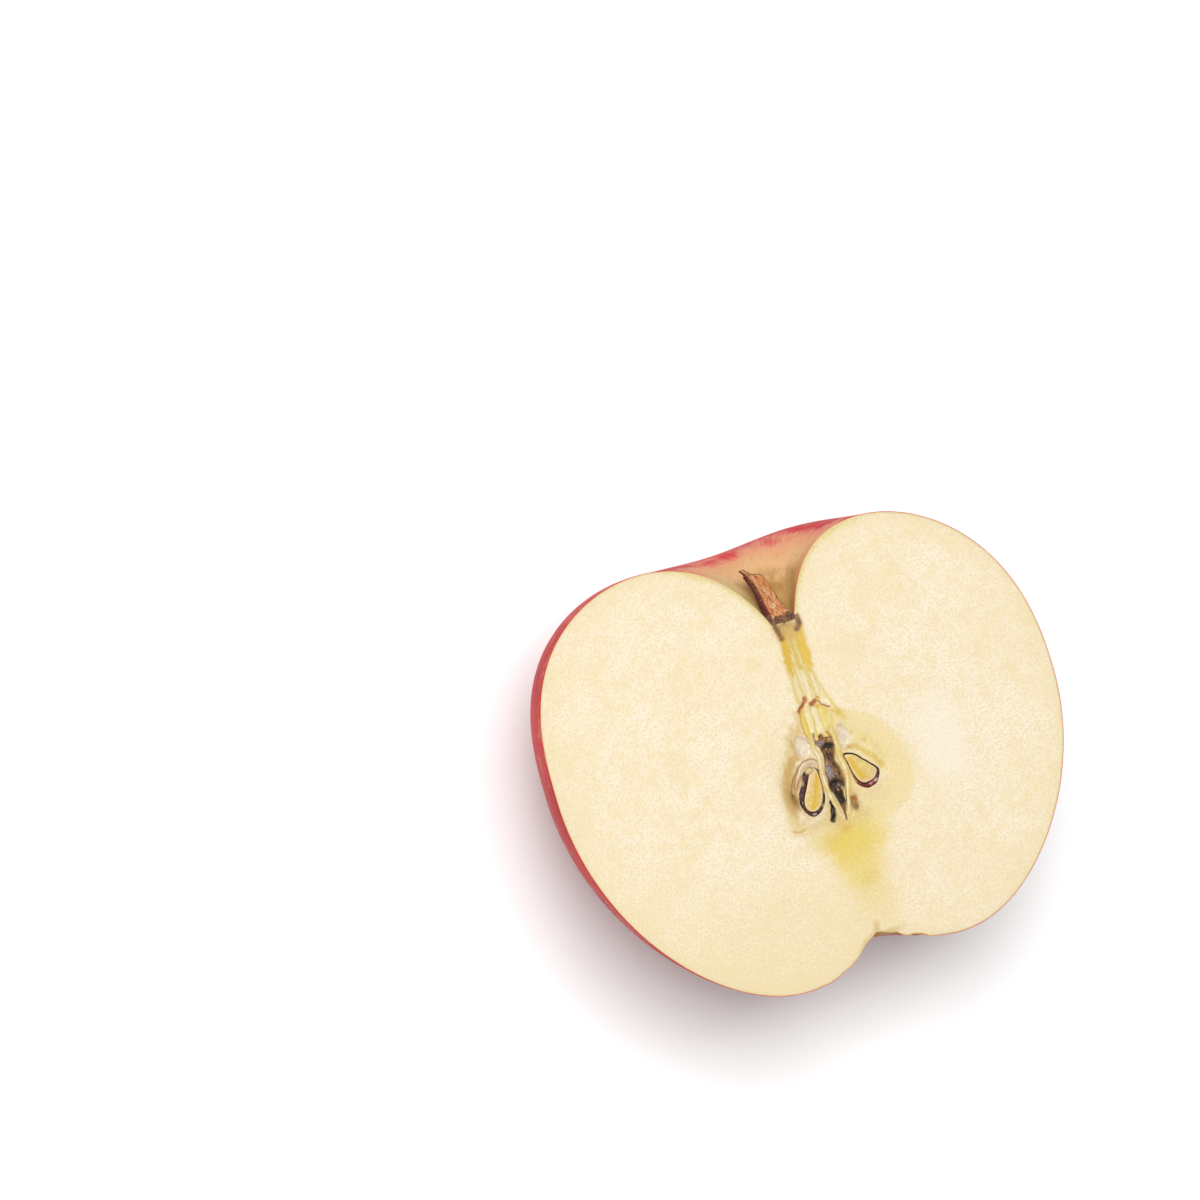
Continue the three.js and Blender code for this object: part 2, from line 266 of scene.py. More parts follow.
BUNDLE_RIGHT = [(2.6, 26.5), (2.7, 24), (2.5, 21.7), (2.6, 19.3), (2.1, 18.4), (2.6, 16.5), (3.2, 14.0),
                (3.5, 13)]
CRACKS = [  # lines with their half width
    ([(-1.8, 12.35), (-1.62, 12.75), (-1.1, 12.95), (-0.75, 13.4), (-0.36, 13.55), (-0.34, 14.0)], 0.22),
    ([(0.3, 12.95), (0.62, 12.8), (0.95, 13.15), (1.35, 13.2)], 0.28),
    ([(1.75, 12.95), (2.05, 12.35), (2.45, 12.15), (2.75, 11.8), (3.15, 11.65)], 0.09),
]

# How deep the parts of the cut face lie below the cut plane, in millimetres, how far some of them
# reach to a side, and how ragged their edges are.
CUT_DROP, GRAIN, FINE_GRAIN = 0.05, 0.010, 0.006
RING_DIP, EDGE_FRAY = 0.09, 0.12
LEFT_WINDOW_DEPTH, RIGHT_WINDOW_DEPTH = 0.40, 0.30
SHELF_REACH, SHELF_DEPTH = 0.95, 0.34
RIB_FORMS = ((LEFT_RIB, 0.42, 0.10), (RIGHT_RIB, 0.70, 0.08))  # half width and depth of the crest
RIB_FALL = 0.16
SEED_HOLLOW = 2.3
CORE_FLOOR, BLACK_HOLE_DEPTH, CORE_TIP_DEPTH = 0.62, 0.6, 0.75
SLIT_HALF_WIDTH, SLIT_DEPTH = 0.52, 1.1
POCKET_DEPTH, BUNDLE_DEPTH = 0.35, 0.11
FAN_DEPTH, PANEL_RISE, CRACK_DEPTH = 0.20, 0.10, 0.30


def edge_at(y, edge):
    """The x of an edge that runs up or down the core, at heights y."""
    edge = np.array(sorted((b, a) for a, b in edge))
    return np.interp(y, edge[:, 0], edge[:, 1])


def between(x, y, left, right):
    """0 midway between two edges and 1 on either, with their ends closed."""
    a, b = edge_at(y, left), edge_at(y, right)
    heights = [p[1] for p in left]
    past = np.maximum(y - max(heights), min(heights) - y)
    return np.abs(2 * x - a - b) / np.maximum(b - a, 0.05) + np.maximum(past, 0) * 4


def sink(x, y):
    """How deep the cut face lies below the cut plane."""
    fray = EDGE_FRAY * lumps(x, y, 1.1, 5)
    deep = RING_DIP * step_up(1.0 - share_of(x, y, CORE_RING), 0, 0.5) * (1 + lumps(x, y, 1.4, 6))
    for window, depth in ((LEFT_WINDOW, LEFT_WINDOW_DEPTH), (RIGHT_WINDOW, RIGHT_WINDOW_DEPTH)):
        deep = np.maximum(deep, depth * step_up(1.08 - share_of(x, y, window) + fray, 0, 0.45))
    shelf = step_up(SHELF_REACH - near_line(x, y, HOOD_LINE)[0], 0, 0.4)
    deep = np.maximum(deep, SHELF_DEPTH * shelf)
    for rib, wide, low in RIB_FORMS:
        far = near_line(x, y, rib)[0] / wide
        crest = low + RIB_FALL * far ** 2 + 0.03 * lumps(x * 3, y * 0.6, 0.8, 10)
        deep = np.where(far < 1.15, np.minimum(np.maximum(deep, 0.1), crest), deep)
    for seed in (LEFT_COAT, RIGHT_COAT):
        deep = np.maximum(deep, SEED_HOLLOW * np.sqrt(np.maximum(1 - share_of(x, y, seed) ** 2, 0)))
    share = between(x, y, OPEN_CORE_LEFT, OPEN_CORE_RIGHT) + fray
    floor = CORE_FLOOR + 0.22 * lumps(x, y, 1.2, 8) + 0.25 * lumps(x * 1.6, y, 0.5, 9)
    for middle, size, turn in BLACK_HOLES:
        floor = floor + BLACK_HOLE_DEPTH * blot(x, y, middle, size, turn)
    deep = np.maximum(deep, floor * step_up(1.05 - share, 0, 0.35))
    for tip, wide in CORE_TIPS:
        far = near_line(x, y, tip)[0] + 0.1 * fray
        deep = np.maximum(deep, CORE_TIP_DEPTH * step_up(wide - far, -0.04, 0.16))
    far, along = near_line(x, y, SLIT)
    slit_width = SLIT_HALF_WIDTH * np.sin(math.pi * np.clip(0.03 + 0.94 * along, 0, 1)) + 0.25 * fray
    deep = np.maximum(deep, SLIT_DEPTH * step_up(slit_width - far, -0.03, 0.20))
    deep = np.maximum(deep, POCKET_DEPTH * step_up(1.1 - share_of(x, y, SIDE_POCKET) + fray, 0, 0.5))
    bundle = step_up(1.2 - between(x, y, BUNDLE_LEFT, BUNDLE_RIGHT), 0, 0.9)
    fibres = BUNDLE_DEPTH + 0.035 * lumps((x - 0.03 * y) * 1.6, y * 0.28, 0.9, 12)
    fibres = fibres + 0.012 * lumps(x * 4, y * 0.6, 0.8, 14)
    deep = np.maximum(deep, bundle * fibres)
    fan_floor = FAN_DEPTH + 0.03 * lumps(x * 2.2, y * 0.45, 0.9, 16)
    fan = step_up(1.05 - share_of(x, y, FAN), 0, 0.4) * fan_floor
    for panel in FAN_PANELS:
        fan = fan - PANEL_RISE * step_up(1.15 - share_of(x, y, panel), 0, 0.6) * (fan > 0.05)
    deep = np.maximum(deep, fan)
    for crack, wide in CRACKS:
        far = near_line(x, y, crack)[0]
        ragged_wide = wide + 0.16 * lumps(x, y, 0.45, 20)
        deep = np.maximum(deep, CRACK_DEPTH * step_up(ragged_wide - far, -0.05, 0.15))
    grain = GRAIN * lumps(x, y, 0.9, 2) + FINE_GRAIN * lumps(x, y, 0.35, 3)
    return CUT_DROP + deep + grain


PATCH_SIDE, PATCH_LEVELS = 10.0, (-20.0, -7.5, 25.9)
PATCH_COLUMNS, PATCH_ROWS = 172, (42, 298)
SPREAD_RINGS, SPREAD_GROWTH = 20, 0.12
FLANK_COLUMNS = 26
FACE_MIDDLE = np.array((0.0, 2.0))
FLESH_INSET, FLESH_RIM_DROP = 0.20, 0.04
FOOT_DIP, FOOT_HALF_WIDTH, FOOT_TOP = 0.36, 2.7, 27.1


def under_foot(x, y):
    """How far the rim dips where the foot of the stem is grown over it."""
    under_it = step_up(FOOT_HALF_WIDTH - np.abs(x), 0, 0.4) * step_up(FOOT_TOP - y, 0, 0.4)
    return FOOT_DIP * under_it * (y > 20)


def clockwise_turn(points):
    """The turn round the face's middle, from 0 at the stem to pi at the calyx, on either side."""
    return np.arctan2(np.abs(points[..., 0]), points[..., 1] - FACE_MIDDLE[1])


def grid_faces(grid):
    """The four-cornered faces between the points of a grid of numbers."""
    return np.stack((grid[:-1, :-1], grid[:-1, 1:], grid[1:, 1:], grid[1:, :-1]), -1).reshape(-1, 4)


patch_x = np.linspace(-PATCH_SIDE, PATCH_SIDE, PATCH_COLUMNS + 1)
patch_y = np.concatenate((np.linspace(*PATCH_LEVELS[:2], PATCH_ROWS[0] + 1)[:-1],
                          np.linspace(*PATCH_LEVELS[1:], PATCH_ROWS[1] + 1)))
patch = np.stack(np.meshgrid(patch_x, patch_y), -1)
number = np.arange(patch[..., 0].size).reshape(patch.shape[:2])
face_points = [patch.reshape(-1, 2)]
flesh_faces = grid_faces(number).tolist()

# From the fine patch round the core, rows of faces spread out to the rim on both sides.
half = PATCH_COLUMNS // 2
right_way = np.concatenate((number[-1, half:], number[-2::-1, -1], number[0, -2:half - 1:-1]))
left_way = np.concatenate((number[-1, half::-1], number[-2::-1, 0], number[0, 1:half + 1]))
swings = np.concatenate((np.linspace(0, 0.02, 40), np.linspace(0.0205, math.pi - 0.0205, 6000),
                         np.linspace(math.pi - 0.02, math.pi, 40)))
rims, rim_swings = [], []
for way, azimuth in ((right_way, 0.0), (left_way, math.pi)):
    outline = skin(swings, np.full(swings.shape, azimuth))[:, :2]
    turn = np.maximum.accumulate(clockwise_turn(outline))
    wanted = clockwise_turn(face_points[0][way])
    swing = np.interp(wanted, turn, swings)
    swing[0], swing[-1] = 0, math.pi
    rims.append(under_skin(swing, np.full(swing.shape, azimuth), FLESH_INSET)[:, :2])
    rim_swings.append(swing)
loop = np.concatenate((right_way, left_way[-2:0:-1]))
rim = np.concatenate((rims[0], rims[1][-2:0:-1]))
steps = (1 + SPREAD_GROWTH) ** np.arange(1, SPREAD_RINGS + 1) - 1
steps /= steps[-1]
inner_ring = loop
start = face_points[0][loop]
count = face_points[0].shape[0]
for step in steps:
    ring = count + np.arange(len(loop))
    face_points.append(start + step * (rim - start))
    flesh_faces += np.stack((inner_ring, ring, np.roll(ring, -1), np.roll(inner_ring, -1)),
                            -1)[:, ::-1].tolist()
    inner_ring = ring
    count += len(loop)
face_points = np.concatenate(face_points)
outer_ring = inner_ring

# The flank hangs from the rim, in arcs from the right side round the back to the left side.
side_count = len(right_way)
right_rim = outer_ring[:side_count]
left_rim = np.concatenate(([outer_ring[0]], outer_ring[:side_count - 2:-1]))
columns = np.linspace(0, 1, FLANK_COLUMNS + 1)[1:-1]
arcs = rim_swings[0][1:-1, None] * (1 - columns) + rim_swings[1][1:-1, None] * columns
flank = under_skin(arcs, np.broadcast_to(math.pi * columns, arcs.shape), FLESH_INSET)
flank_number = count + np.arange(arcs.size).reshape(arcs.shape)
grid = np.concatenate((right_rim[1:-1, None], flank_number, left_rim[1:-1, None]), 1)
flesh_faces += grid_faces(grid)[:, ::-1].tolist()
for pole, row in ((right_rim[0], grid[0]), (right_rim[-1], grid[-1][::-1])):
    flesh_faces += [(int(pole), int(b), int(a)) for a, b in zip(row[:-1], row[1:])][::-1]

cut_x, cut_y = face_points.T
at_rim = np.isin(np.arange(len(cut_x)), outer_ring)
face_depth = np.where(at_rim, FLESH_RIM_DROP + under_foot(cut_x, cut_y), sink(cut_x, cut_y))
flesh_points = np.concatenate((np.stack((cut_x, cut_y, -face_depth), -1), flank.reshape(-1, 3)))


def body_of_points(name, points, faces, masks=None, crisp=()):
    """A piece from points in millimetres, with named masks and crisp edges between some points."""
    mesh = bpy.data.meshes.new(name)
    mesh.from_pydata(to_frame(points).tolist(), [], [tuple(face) for face in faces])
    for line in crisp:
        ends = np.empty(2 * len(mesh.edges), np.int32)
        mesh.edges.foreach_get("vertices", ends)
        on_line = np.isin(ends.reshape(-1, 2), line).all(1)
        if "sharp_edge" not in mesh.attributes:
            mesh.attributes.new("sharp_edge", "BOOLEAN", "EDGE")
        kept = np.empty(len(on_line), bool)
        mesh.attributes["sharp_edge"].data.foreach_get("value", kept)
        mesh.attributes["sharp_edge"].data.foreach_set("value", kept | on_line)
    for mask, values in (masks or {}).items():
        attribute = mesh.attributes.new(mask, "FLOAT", "POINT")
        full = np.zeros(len(points), np.float32)
        full[:len(values)] = values
        attribute.data.foreach_set("value", full)
    mesh.shade_smooth()
    mesh.update()
    piece = bpy.data.objects.new(name, mesh)
    bpy.context.scene.collection.objects.link(piece)
    return piece


STUDIO_LIGHT = 1.30  # how much brighter the studio makes a level surface than its own colour


def paint(red, green, blue):
    """A colour given as it looks on a screen in the studio, 0 to 255, as a shader takes it."""
    return tuple((c / 12.92 if c <= 0.04045 else ((c + 0.055) / 1.055) ** 2.4) / STUDIO_LIGHT
                 for c in (red / 255, green / 255, blue / 255)) + (1.0,)


# Small dark spots in the open core, each with its middle, size and turn.
DARK_SPOTS = [((0.85, 3.95), (0.26, 0.30, 0)), ((1.3, 2.9), (0.16, 0.34, 0)),
              ((1.72, 1.3), (0.13, 0.34, 0)), ((0.15, 4.5), (0.16, 0.36, 0)), ((0.7, 2.7), (0.14, 0.2, 0)),
              ((1.1, 1.2), (0.2, 0.26, 0)), ((0.1, 5.6), (0.13, 0.3, 0))]

# What marks the cut face, one mark over the other, each with its look and strength: stains, and painted
# shade in the hollow under the curled lining and in the deep holes and the slit. A spot has a middle, a
# size and a turn, a band a line, a half width and a soft edge, and an area a closed line and the softness
# of its edge. "between" is an area between two edges.
STAINS_AND_SHADE = [
    ("spot", (19.5, 1.5), (5.0, 8.0, 0), (254, 244, 223), 0.75),
    ("area", MOIST_ZONE, 0.07, (246, 227, 172), 0.8),
    ("spot", (-4.4, 1.0), (4.6, 8.0, 8), (241, 223, 182), 0.75),
    # The yellow-green bruise between the core and the calyx.
    ("spot", (-4.4, -7.3), (3.2, 1.4, 8), (241, 223, 165), 0.7),
    ("spot", (3.8, -9.0), (3.6, 2.6, 0), (241, 221, 146), 0.8),
    ("spot", (-0.1, -9.6), (3.6, 3.2, 0), (237, 211, 98), 1.0),
    ("spot", (0.9, -13.6), (3.0, 3.8, 0), (240, 217, 128), 0.85),
    ("spot", (-2.6, -8.0), (1.6, 0.9, 10), (233, 204, 108), 0.5),
    ("spot", (1.4, -15.4), (1.2, 0.9, 20), (233, 202, 108), 0.7),
    ("spot", (2.4, -8.6), (1.0, 1.5, -20), (238, 214, 118), 0.6),
    ("band", [(0.05, -24.4), (0.3, -22.6)], (0.02, 0.9), (212, 176, 116), 0.55),
    ("spot", (1.2, -24.3), (3.0, 0.45, 0), (214, 176, 112), 0.75),
    ("spot", (-2.6, -25.0), (2.4, 0.4, 33), (220, 184, 120), 0.6),
    ("spot", (1.6, -18.2), (3.6, 4.4, 0), (242, 222, 160), 0.55),
    ("spot", (0.28, -6.9), (0.8, 0.6, 0), (227, 192, 84), 0.9),
    # Tan and brown round the seed cells, darker beside the left one.
    ("band", [(-3.6, 9.7), (-4.6, 8.0), (-5.2, 6.0), (-6.2, 4.2), (-7.0, 2.0), (-7.3, 0.0),
     (-6.9, -2.2)], (0.2, 1.7), (229, 203, 144), 0.75),
    ("band", [(-5.5, 5.6), (-6.6, 3.2), (-7.1, 1.4), (-7.0, -0.8)], (0.1, 1.1), (208, 170, 98), 0.9),
    ("band", [(-2.5, 12.2), (-2.5, 10.4), (-2.8, 9.2)], (0.1, 0.8), (228, 200, 132), 0.6),
    ("spot", (-4.8, -4.9), (3.4, 1.1, 0), (232, 209, 156), 0.85),
    ("spot", (-7.4, -3.6), (1.4, 1.4, 0), (238, 219, 160), 0.8),
    ("spot", (-0.3, -4.2), (1.9, 2.0, 0), (214, 178, 100), 0.85),
    ("spot", (2.6, -3.6), (1.5, 2.3, 0), (217, 183, 112), 0.85),
    ("spot", (2.9, -5.6), (2.2, 0.9, 0), (234, 208, 138), 0.85),
    ("spot", (5.8, -3.4), (3.6, 1.6, 0), (241, 222, 168), 0.8),
    ("spot", (4.6, 9.6), (1.5, 1.1, -40), (239, 220, 156), 0.7),
    ("spot", (7.3, 5.2), (1.8, 0.9, -50), (238, 217, 148), 0.7),
    ("spot", (9.2, 2.4), (0.9, 1.7, 20), (238, 217, 148), 0.6),
    ("band", [(3.5, 5.0), (5.4, 4.6), (7.0, 3.1), (8.4, 1.3), (8.7, 0.4)],
     (0.1, 0.65), (228, 199, 108), 0.95),
    ("band", [(3.4, 4.9), (4.3, 4.95)], (0.1, 0.4), (196, 152, 72), 0.8),
    ("spot", (8.6, -1.2), (0.45, 0.9, 0), (242, 228, 205), 0.7),
    ("spot", (6.4, -2.75), (1.6, 0.3, 10), (236, 210, 172), 0.7),
    ("spot", (-7.0, -0.2), (1.25, 2.9, 5), (200, 162, 96), 0.9),
    ("spot", (-6.72, -0.2), (0.5, 1.25, 5), (146, 102, 48), 0.95),
    ("spot", (-5.9, 1.6), (0.35, 0.9, -25), (226, 198, 148), 0.9),
    ("spot", (-6.3, -3.1), (0.35, 0.9, 25), (247, 230, 205), 0.9),
    ("spot", (-4.6, -4.3), (1.6, 0.3, 10), (246, 230, 200), 0.7),
    ("spot", (-1.15, -1.3), (0.3, 1.3, 0), (226, 196, 138), 0.8),
    # Painted shade: a brown band on the flesh under and round the curled lining over the left seed's tip.
    ("band", HOOD_LINE[1:], (0.55, 0.45), (186, 142, 92), 0.85),
    ("band", [(-8.3, -4.9), (-7.5, -5.25), (-6.7, -5.15)], (0.08, 0.22), (224, 180, 100), 0.8),
    ("band", [(-6.1, -2.3), (-6.5, -3.2), (-6.9, -3.8)], (0.08, 0.2), (244, 224, 196), 0.8),
    ("area", LEFT_WINDOW, 0.3, (231, 206, 166), 1.0), ("area", RIGHT_WINDOW, 0.3, (237, 214, 178), 1.0),
    ("band", [(-4.6, 8.4), (-4.4, 6.6), (-4.2, 5.4)], (0.05, 0.35), (206, 168, 110), 0.7),
    # The fan of pale strands above the seeds, and the bundle that comes down from the stem.
    ("area", FAN, 0.12, (236, 205, 98), 0.97),
    *[("area", panel, 0.3, look, 1.0) for panel, look in zip(FAN_PANELS, FAN_LOOKS)],
    ("band", [(-1.85, 12.2), (-2.05, 10.3), (-2.0, 8.7), (-1.55, 7.4)],
     (0.03, 0.22), (162, 110, 70), 0.4),
    ("band", [(1.9, 8.6), (2.2, 7.2), (2.35, 6.0)], (0.2, 0.4), (236, 212, 130), 0.8),
    ("between", (BUNDLE_LEFT, BUNDLE_RIGHT), 0.45, (245, 228, 184), 0.9),
    ("band", [(-0.9, 25.0), (-1.0, 22.8), (-1.15, 20.5), (-1.2, 18.4)],
     (0.40, 0.65), (229, 190, 70), 1.0),
    ("band", [(1.9, 24.6), (1.75, 22.0), (1.8, 20.0), (1.6, 18.6)], (0.55, 0.65), (231, 194, 76), 1.0),
    ("band", [(0.1, 26.4), (0.25, 22.5), (0.5, 19.0)], (0.35, 0.5), (226, 190, 86), 0.9),
    ("band", [(0.5, 23.2), (0.75, 20.8), (0.95, 18.5)], (0.08, 0.25), (238, 215, 140), 0.9),
    ("band", [(-1.5, 18.4), (-1.55, 16.0), (-1.5, 13.6)], (0.10, 0.35), (234, 210, 134), 0.9),
    ("band", [(-0.5, 18.6), (-0.4, 16.0), (-0.2, 13.8)], (0.06, 0.25), (230, 203, 116), 0.85),
    ("band", [(1.3, 18.8), (1.45, 16.0), (1.6, 13.6)], (0.12, 0.25), (232, 206, 122), 0.9),
    ("band", [(2.1, 18.4), (2.5, 15.8), (3.4, 13.0), (4.2, 11.0)], (0.08, 0.3), (236, 212, 134), 0.85),
    ("spot", (0.1, 25.3), (2.0, 1.5, 0), (204, 164, 98), 0.95),
    ("spot", (0.2, 24.2), (0.9, 1.2, 0), (218, 182, 96), 0.8),
    ("band", [(-1.7, 26.5), (-1.5, 25.2), (-1.15, 23.8)], (0.12, 0.5), (150, 104, 54), 0.95),
    ("band", [(2.3, 26.4), (2.3, 25.3), (1.7, 24.5)], (0.15, 0.5), (146, 102, 58), 0.95),
    ("spot", (2.35, 25.5), (0.30, 0.55, 0), (96, 68, 54), 0.7),
    ("spot", (-1.5, 25.2), (0.20, 1.0, 12), (104, 74, 48), 0.65),
    # The ribs beside the open core, and the torn linings and dark holes in it.
    ("band", LEFT_RIB, (0.30, 0.3), (228, 202, 144), 1.0),
    ("band", RIGHT_RIB, (0.50, 0.4), (231, 202, 122), 1.0),
    ("band", LEFT_RIB, (0.02, 0.18), (240, 221, 172), 0.8),
    ("band", RIGHT_RIB, (0.08, 0.25), (239, 218, 156), 0.8),
    ("between", (OPEN_CORE_LEFT, OPEN_CORE_RIGHT), 0.2, (140, 96, 50), 1.0),
    ("spot", (1.0, 3.4), (0.5, 0.8, 0), (104, 68, 40), 0.9),
    ("spot", (1.55, 2.0), (0.4, 0.9, 0), (132, 88, 42), 0.9),
    ("spot", (1.85, 0.5), (0.30, 0.9, 0), (178, 138, 78), 0.95),
    ("spot", (1.45, -1.9), (0.22, 0.9, 8), (222, 194, 134), 1.0),
    ("spot", (0.15, 6.6), (0.6, 0.40, -15), (168, 154, 154), 1.0),
    ("spot", (0.4, 2.0), (0.5, 1.3, 4), (156, 138, 134), 1.0),
    ("spot", (0.3, 3.4), (0.3, 0.4, 0), (188, 150, 92), 0.7),
    ("spot", (1.8, 6.6), (0.35, 0.5, 0), (200, 160, 100), 0.8),
    # Painted shade: the deep holes in the open core are painted near-black, as the shade in them.
    *[("spot", middle, (1.3 * size[0], 1.25 * size[1], turn), (38, 18, 16), 1.0)
      for middle, size, turn in BLACK_HOLES],
    *[("spot", middle, size, (50, 28, 22), 0.9) for middle, size in DARK_SPOTS],
    ("spot", (0.47, 7.55), (0.42, 0.42, 0), (134, 78, 52), 1.0),
    ("spot", (0.47, 7.5), (0.16, 0.18, 0), (86, 32, 32), 1.0),
    ("band", CORE_TIPS[0][0], (0.05, 0.18), (104, 78, 66), 0.9),
    ("band", CORE_TIPS[1][0], (0.05, 0.18), (138, 98, 64), 0.85),
    ("band", [(1.1, -3.4), (0.85, -4.6), (0.65, -5.8)], (0.03, 0.14), (122, 86, 54), 0.9),
    # Painted shade: the deep slit is painted near-black, as the shade in it. The side pocket keeps its
    # brown.
    ("band", SLIT, (0.34, 0.22), (40, 18, 16), 1.0), ("area", SIDE_POCKET, 0.5, (172, 130, 68), 1.0),
    ("spot", (2.95, -3.1), (0.28, 0.5, 0), (196, 116, 56), 0.95),
    ("spot", (2.9, -4.3), (0.22, 0.4, 0), (116, 76, 42), 0.9),
    # Rusty cracks across the strands, and specks of gold near them.
    *[("band", crack, (0.16, 0.34), (206, 134, 74), 0.95) for crack, _ in CRACKS[:2]],
    ("band", CRACKS[0][0][:4], (0.03, 0.16), (112, 52, 34), 0.9),
    ("spot", (-1.85, 12.4), (0.26, 0.28, 0), (206, 140, 78), 1.0),
    ("spot", (-0.36, 13.9), (0.34, 0.46, 0), (201, 128, 74), 1.0),
    ("spot", (0.95, 13.05), (0.5, 0.30, 15), (184, 108, 56), 1.0),
    ("spot", (0.5, 12.85), (0.24, 0.20, 0), (84, 42, 32), 1.0),
    ("spot", (1.7, 13.5), (0.36, 0.4, 0), (224, 188, 96), 1.0),
    ("band", CRACKS[2][0], (0.05, 0.18), (172, 92, 58), 0.9),
    ("spot", (1.42, 12.3), (0.26, 0.2, 0), (226, 192, 96), 1.0),
    ("spot", (2.46, 11.0), (0.42, 0.2, 0), (233, 206, 104), 1.0),
    ("spot", (3.5, 10.9), (0.5, 0.22, -30), (230, 199, 96), 1.0),
    ("spot", (4.3, 10.4), (0.6, 0.46, -40), (228, 194, 90), 1.0),
    ("spot", (4.9, 9.5), (0.45, 0.3, -40), (236, 210, 118), 0.9),
    ("spot", (5.45, 6.75), (0.2, 0.24, 0), (229, 198, 104), 0.9),
    ("spot", (7.1, 5.1), (0.35, 0.25, -40), (231, 202, 116), 0.9),
    ("spot", (-17.8, 32.0), (1.0, 1.6, 0), (240, 220, 160), 0.45),
    ("spot", (22.5, -12.3), (0.5, 1.6, -25), (240, 218, 165), 0.5),
    ("spot", (-13.0, -14.5), (0.9, 0.6, 0), (241, 221, 168), 0.5),
]


def mark_mask(kind, where, size, x, y):
    """How much of a mark, stain and painted shade alike, lies at each point, with an edge that is a little
    ragged.
    """
    rag = lumps(x, y, 0.55, 90)
    if kind == "spot":
        return np.clip(1.25 * blot(x, y, where, size[:2], size[2]) * (1 + 0.35 * rag), 0, 1)
    if kind == "band":
        return 1 - step_up(near_line(x, y, where)[0] + 0.4 * size[1] * rag, size[0], size[0] + size[1])
    if kind == "area":
        return step_up(1 - share_of(x, y, where) + 0.4 * size * rag, -size, size)
    return step_up(1.1 - between(x, y, *where) + 0.4 * size * rag, -size, size)


STAIN_FRINGE = 0.04  # the share of plain flesh that keeps a faint stain from looking dark
tint, cover = np.zeros((len(cut_x), 3)), np.zeros(len(cut_x))
for kind, where, size, look, strength in STAINS_AND_SHADE:
    laid = strength * mark_mask(kind, where, size, cut_x, cut_y)
    tint = tint * (1 - laid[:, None]) + laid[:, None] * np.array(paint(*look)[:3])
    cover = cover * (1 - laid) + laid
# Painted shade: where the flesh lies 0.3 to 0.8 mm deep or more and carries no stain, it is painted brown,
# as the shade in the hollow.
shade = step_up(face_depth, 0.3, 0.8) * (1 - cover)
tint = tint * (1 - shade[:, None]) + shade[:, None] * np.array(paint(186, 148, 92)[:3])
cover = cover * (1 - shade) + shade
tint = (tint + STAIN_FRINGE * np.array(paint(246, 229, 190)[:3])) / (cover + STAIN_FRINGE)[:, None]

ring_share = share_of(cut_x, cut_y, CORE_RING)
ring_line = np.exp(-((ring_share - 1.0) / 0.022) ** 2)
ring_line *= step_up(cut_x, 4, 9) + 0.6 * step_up(-cut_x, 3, 7) * step_up(-cut_y, 2, 6)
rim_distance = np.min([np.hypot(cut_x[:, None] - part[:, 0], cut_y[:, None] - part[:, 1]).min(1)
                       for part in np.array_split(rim, 32)], axis=0)
warm = 0.95 * step_up(-cut_y, 0, 22) * np.exp(-((cut_x + 15) / 22) ** 2) + 0.8 * np.exp(-rim_distance / 2.5)
well_edge = np.exp(-(rim_distance / 0.45) ** 2) * step_up(cut_y, 24, 27.5)
well_edge *= step_up(20 - np.abs(cut_x), 0, 9)
flesh = body_of_points("flesh", flesh_points, flesh_faces, {
    "warm": warm, "ring_line": ring_line, "cover": cover, "well_edge": well_edge,
    "moist": step_up(1.02 - ring_share, 0, 0.1)}, crisp=[outer_ring])
tint_layer = flesh.data.attributes.new("tint", "FLOAT_COLOR", "POINT")
rgba = np.ones((len(flesh_points), 4), np.float32)
rgba[:len(cut_x), :3] = tint
tint_layer.data.foreach_set("color", rgba.ravel())


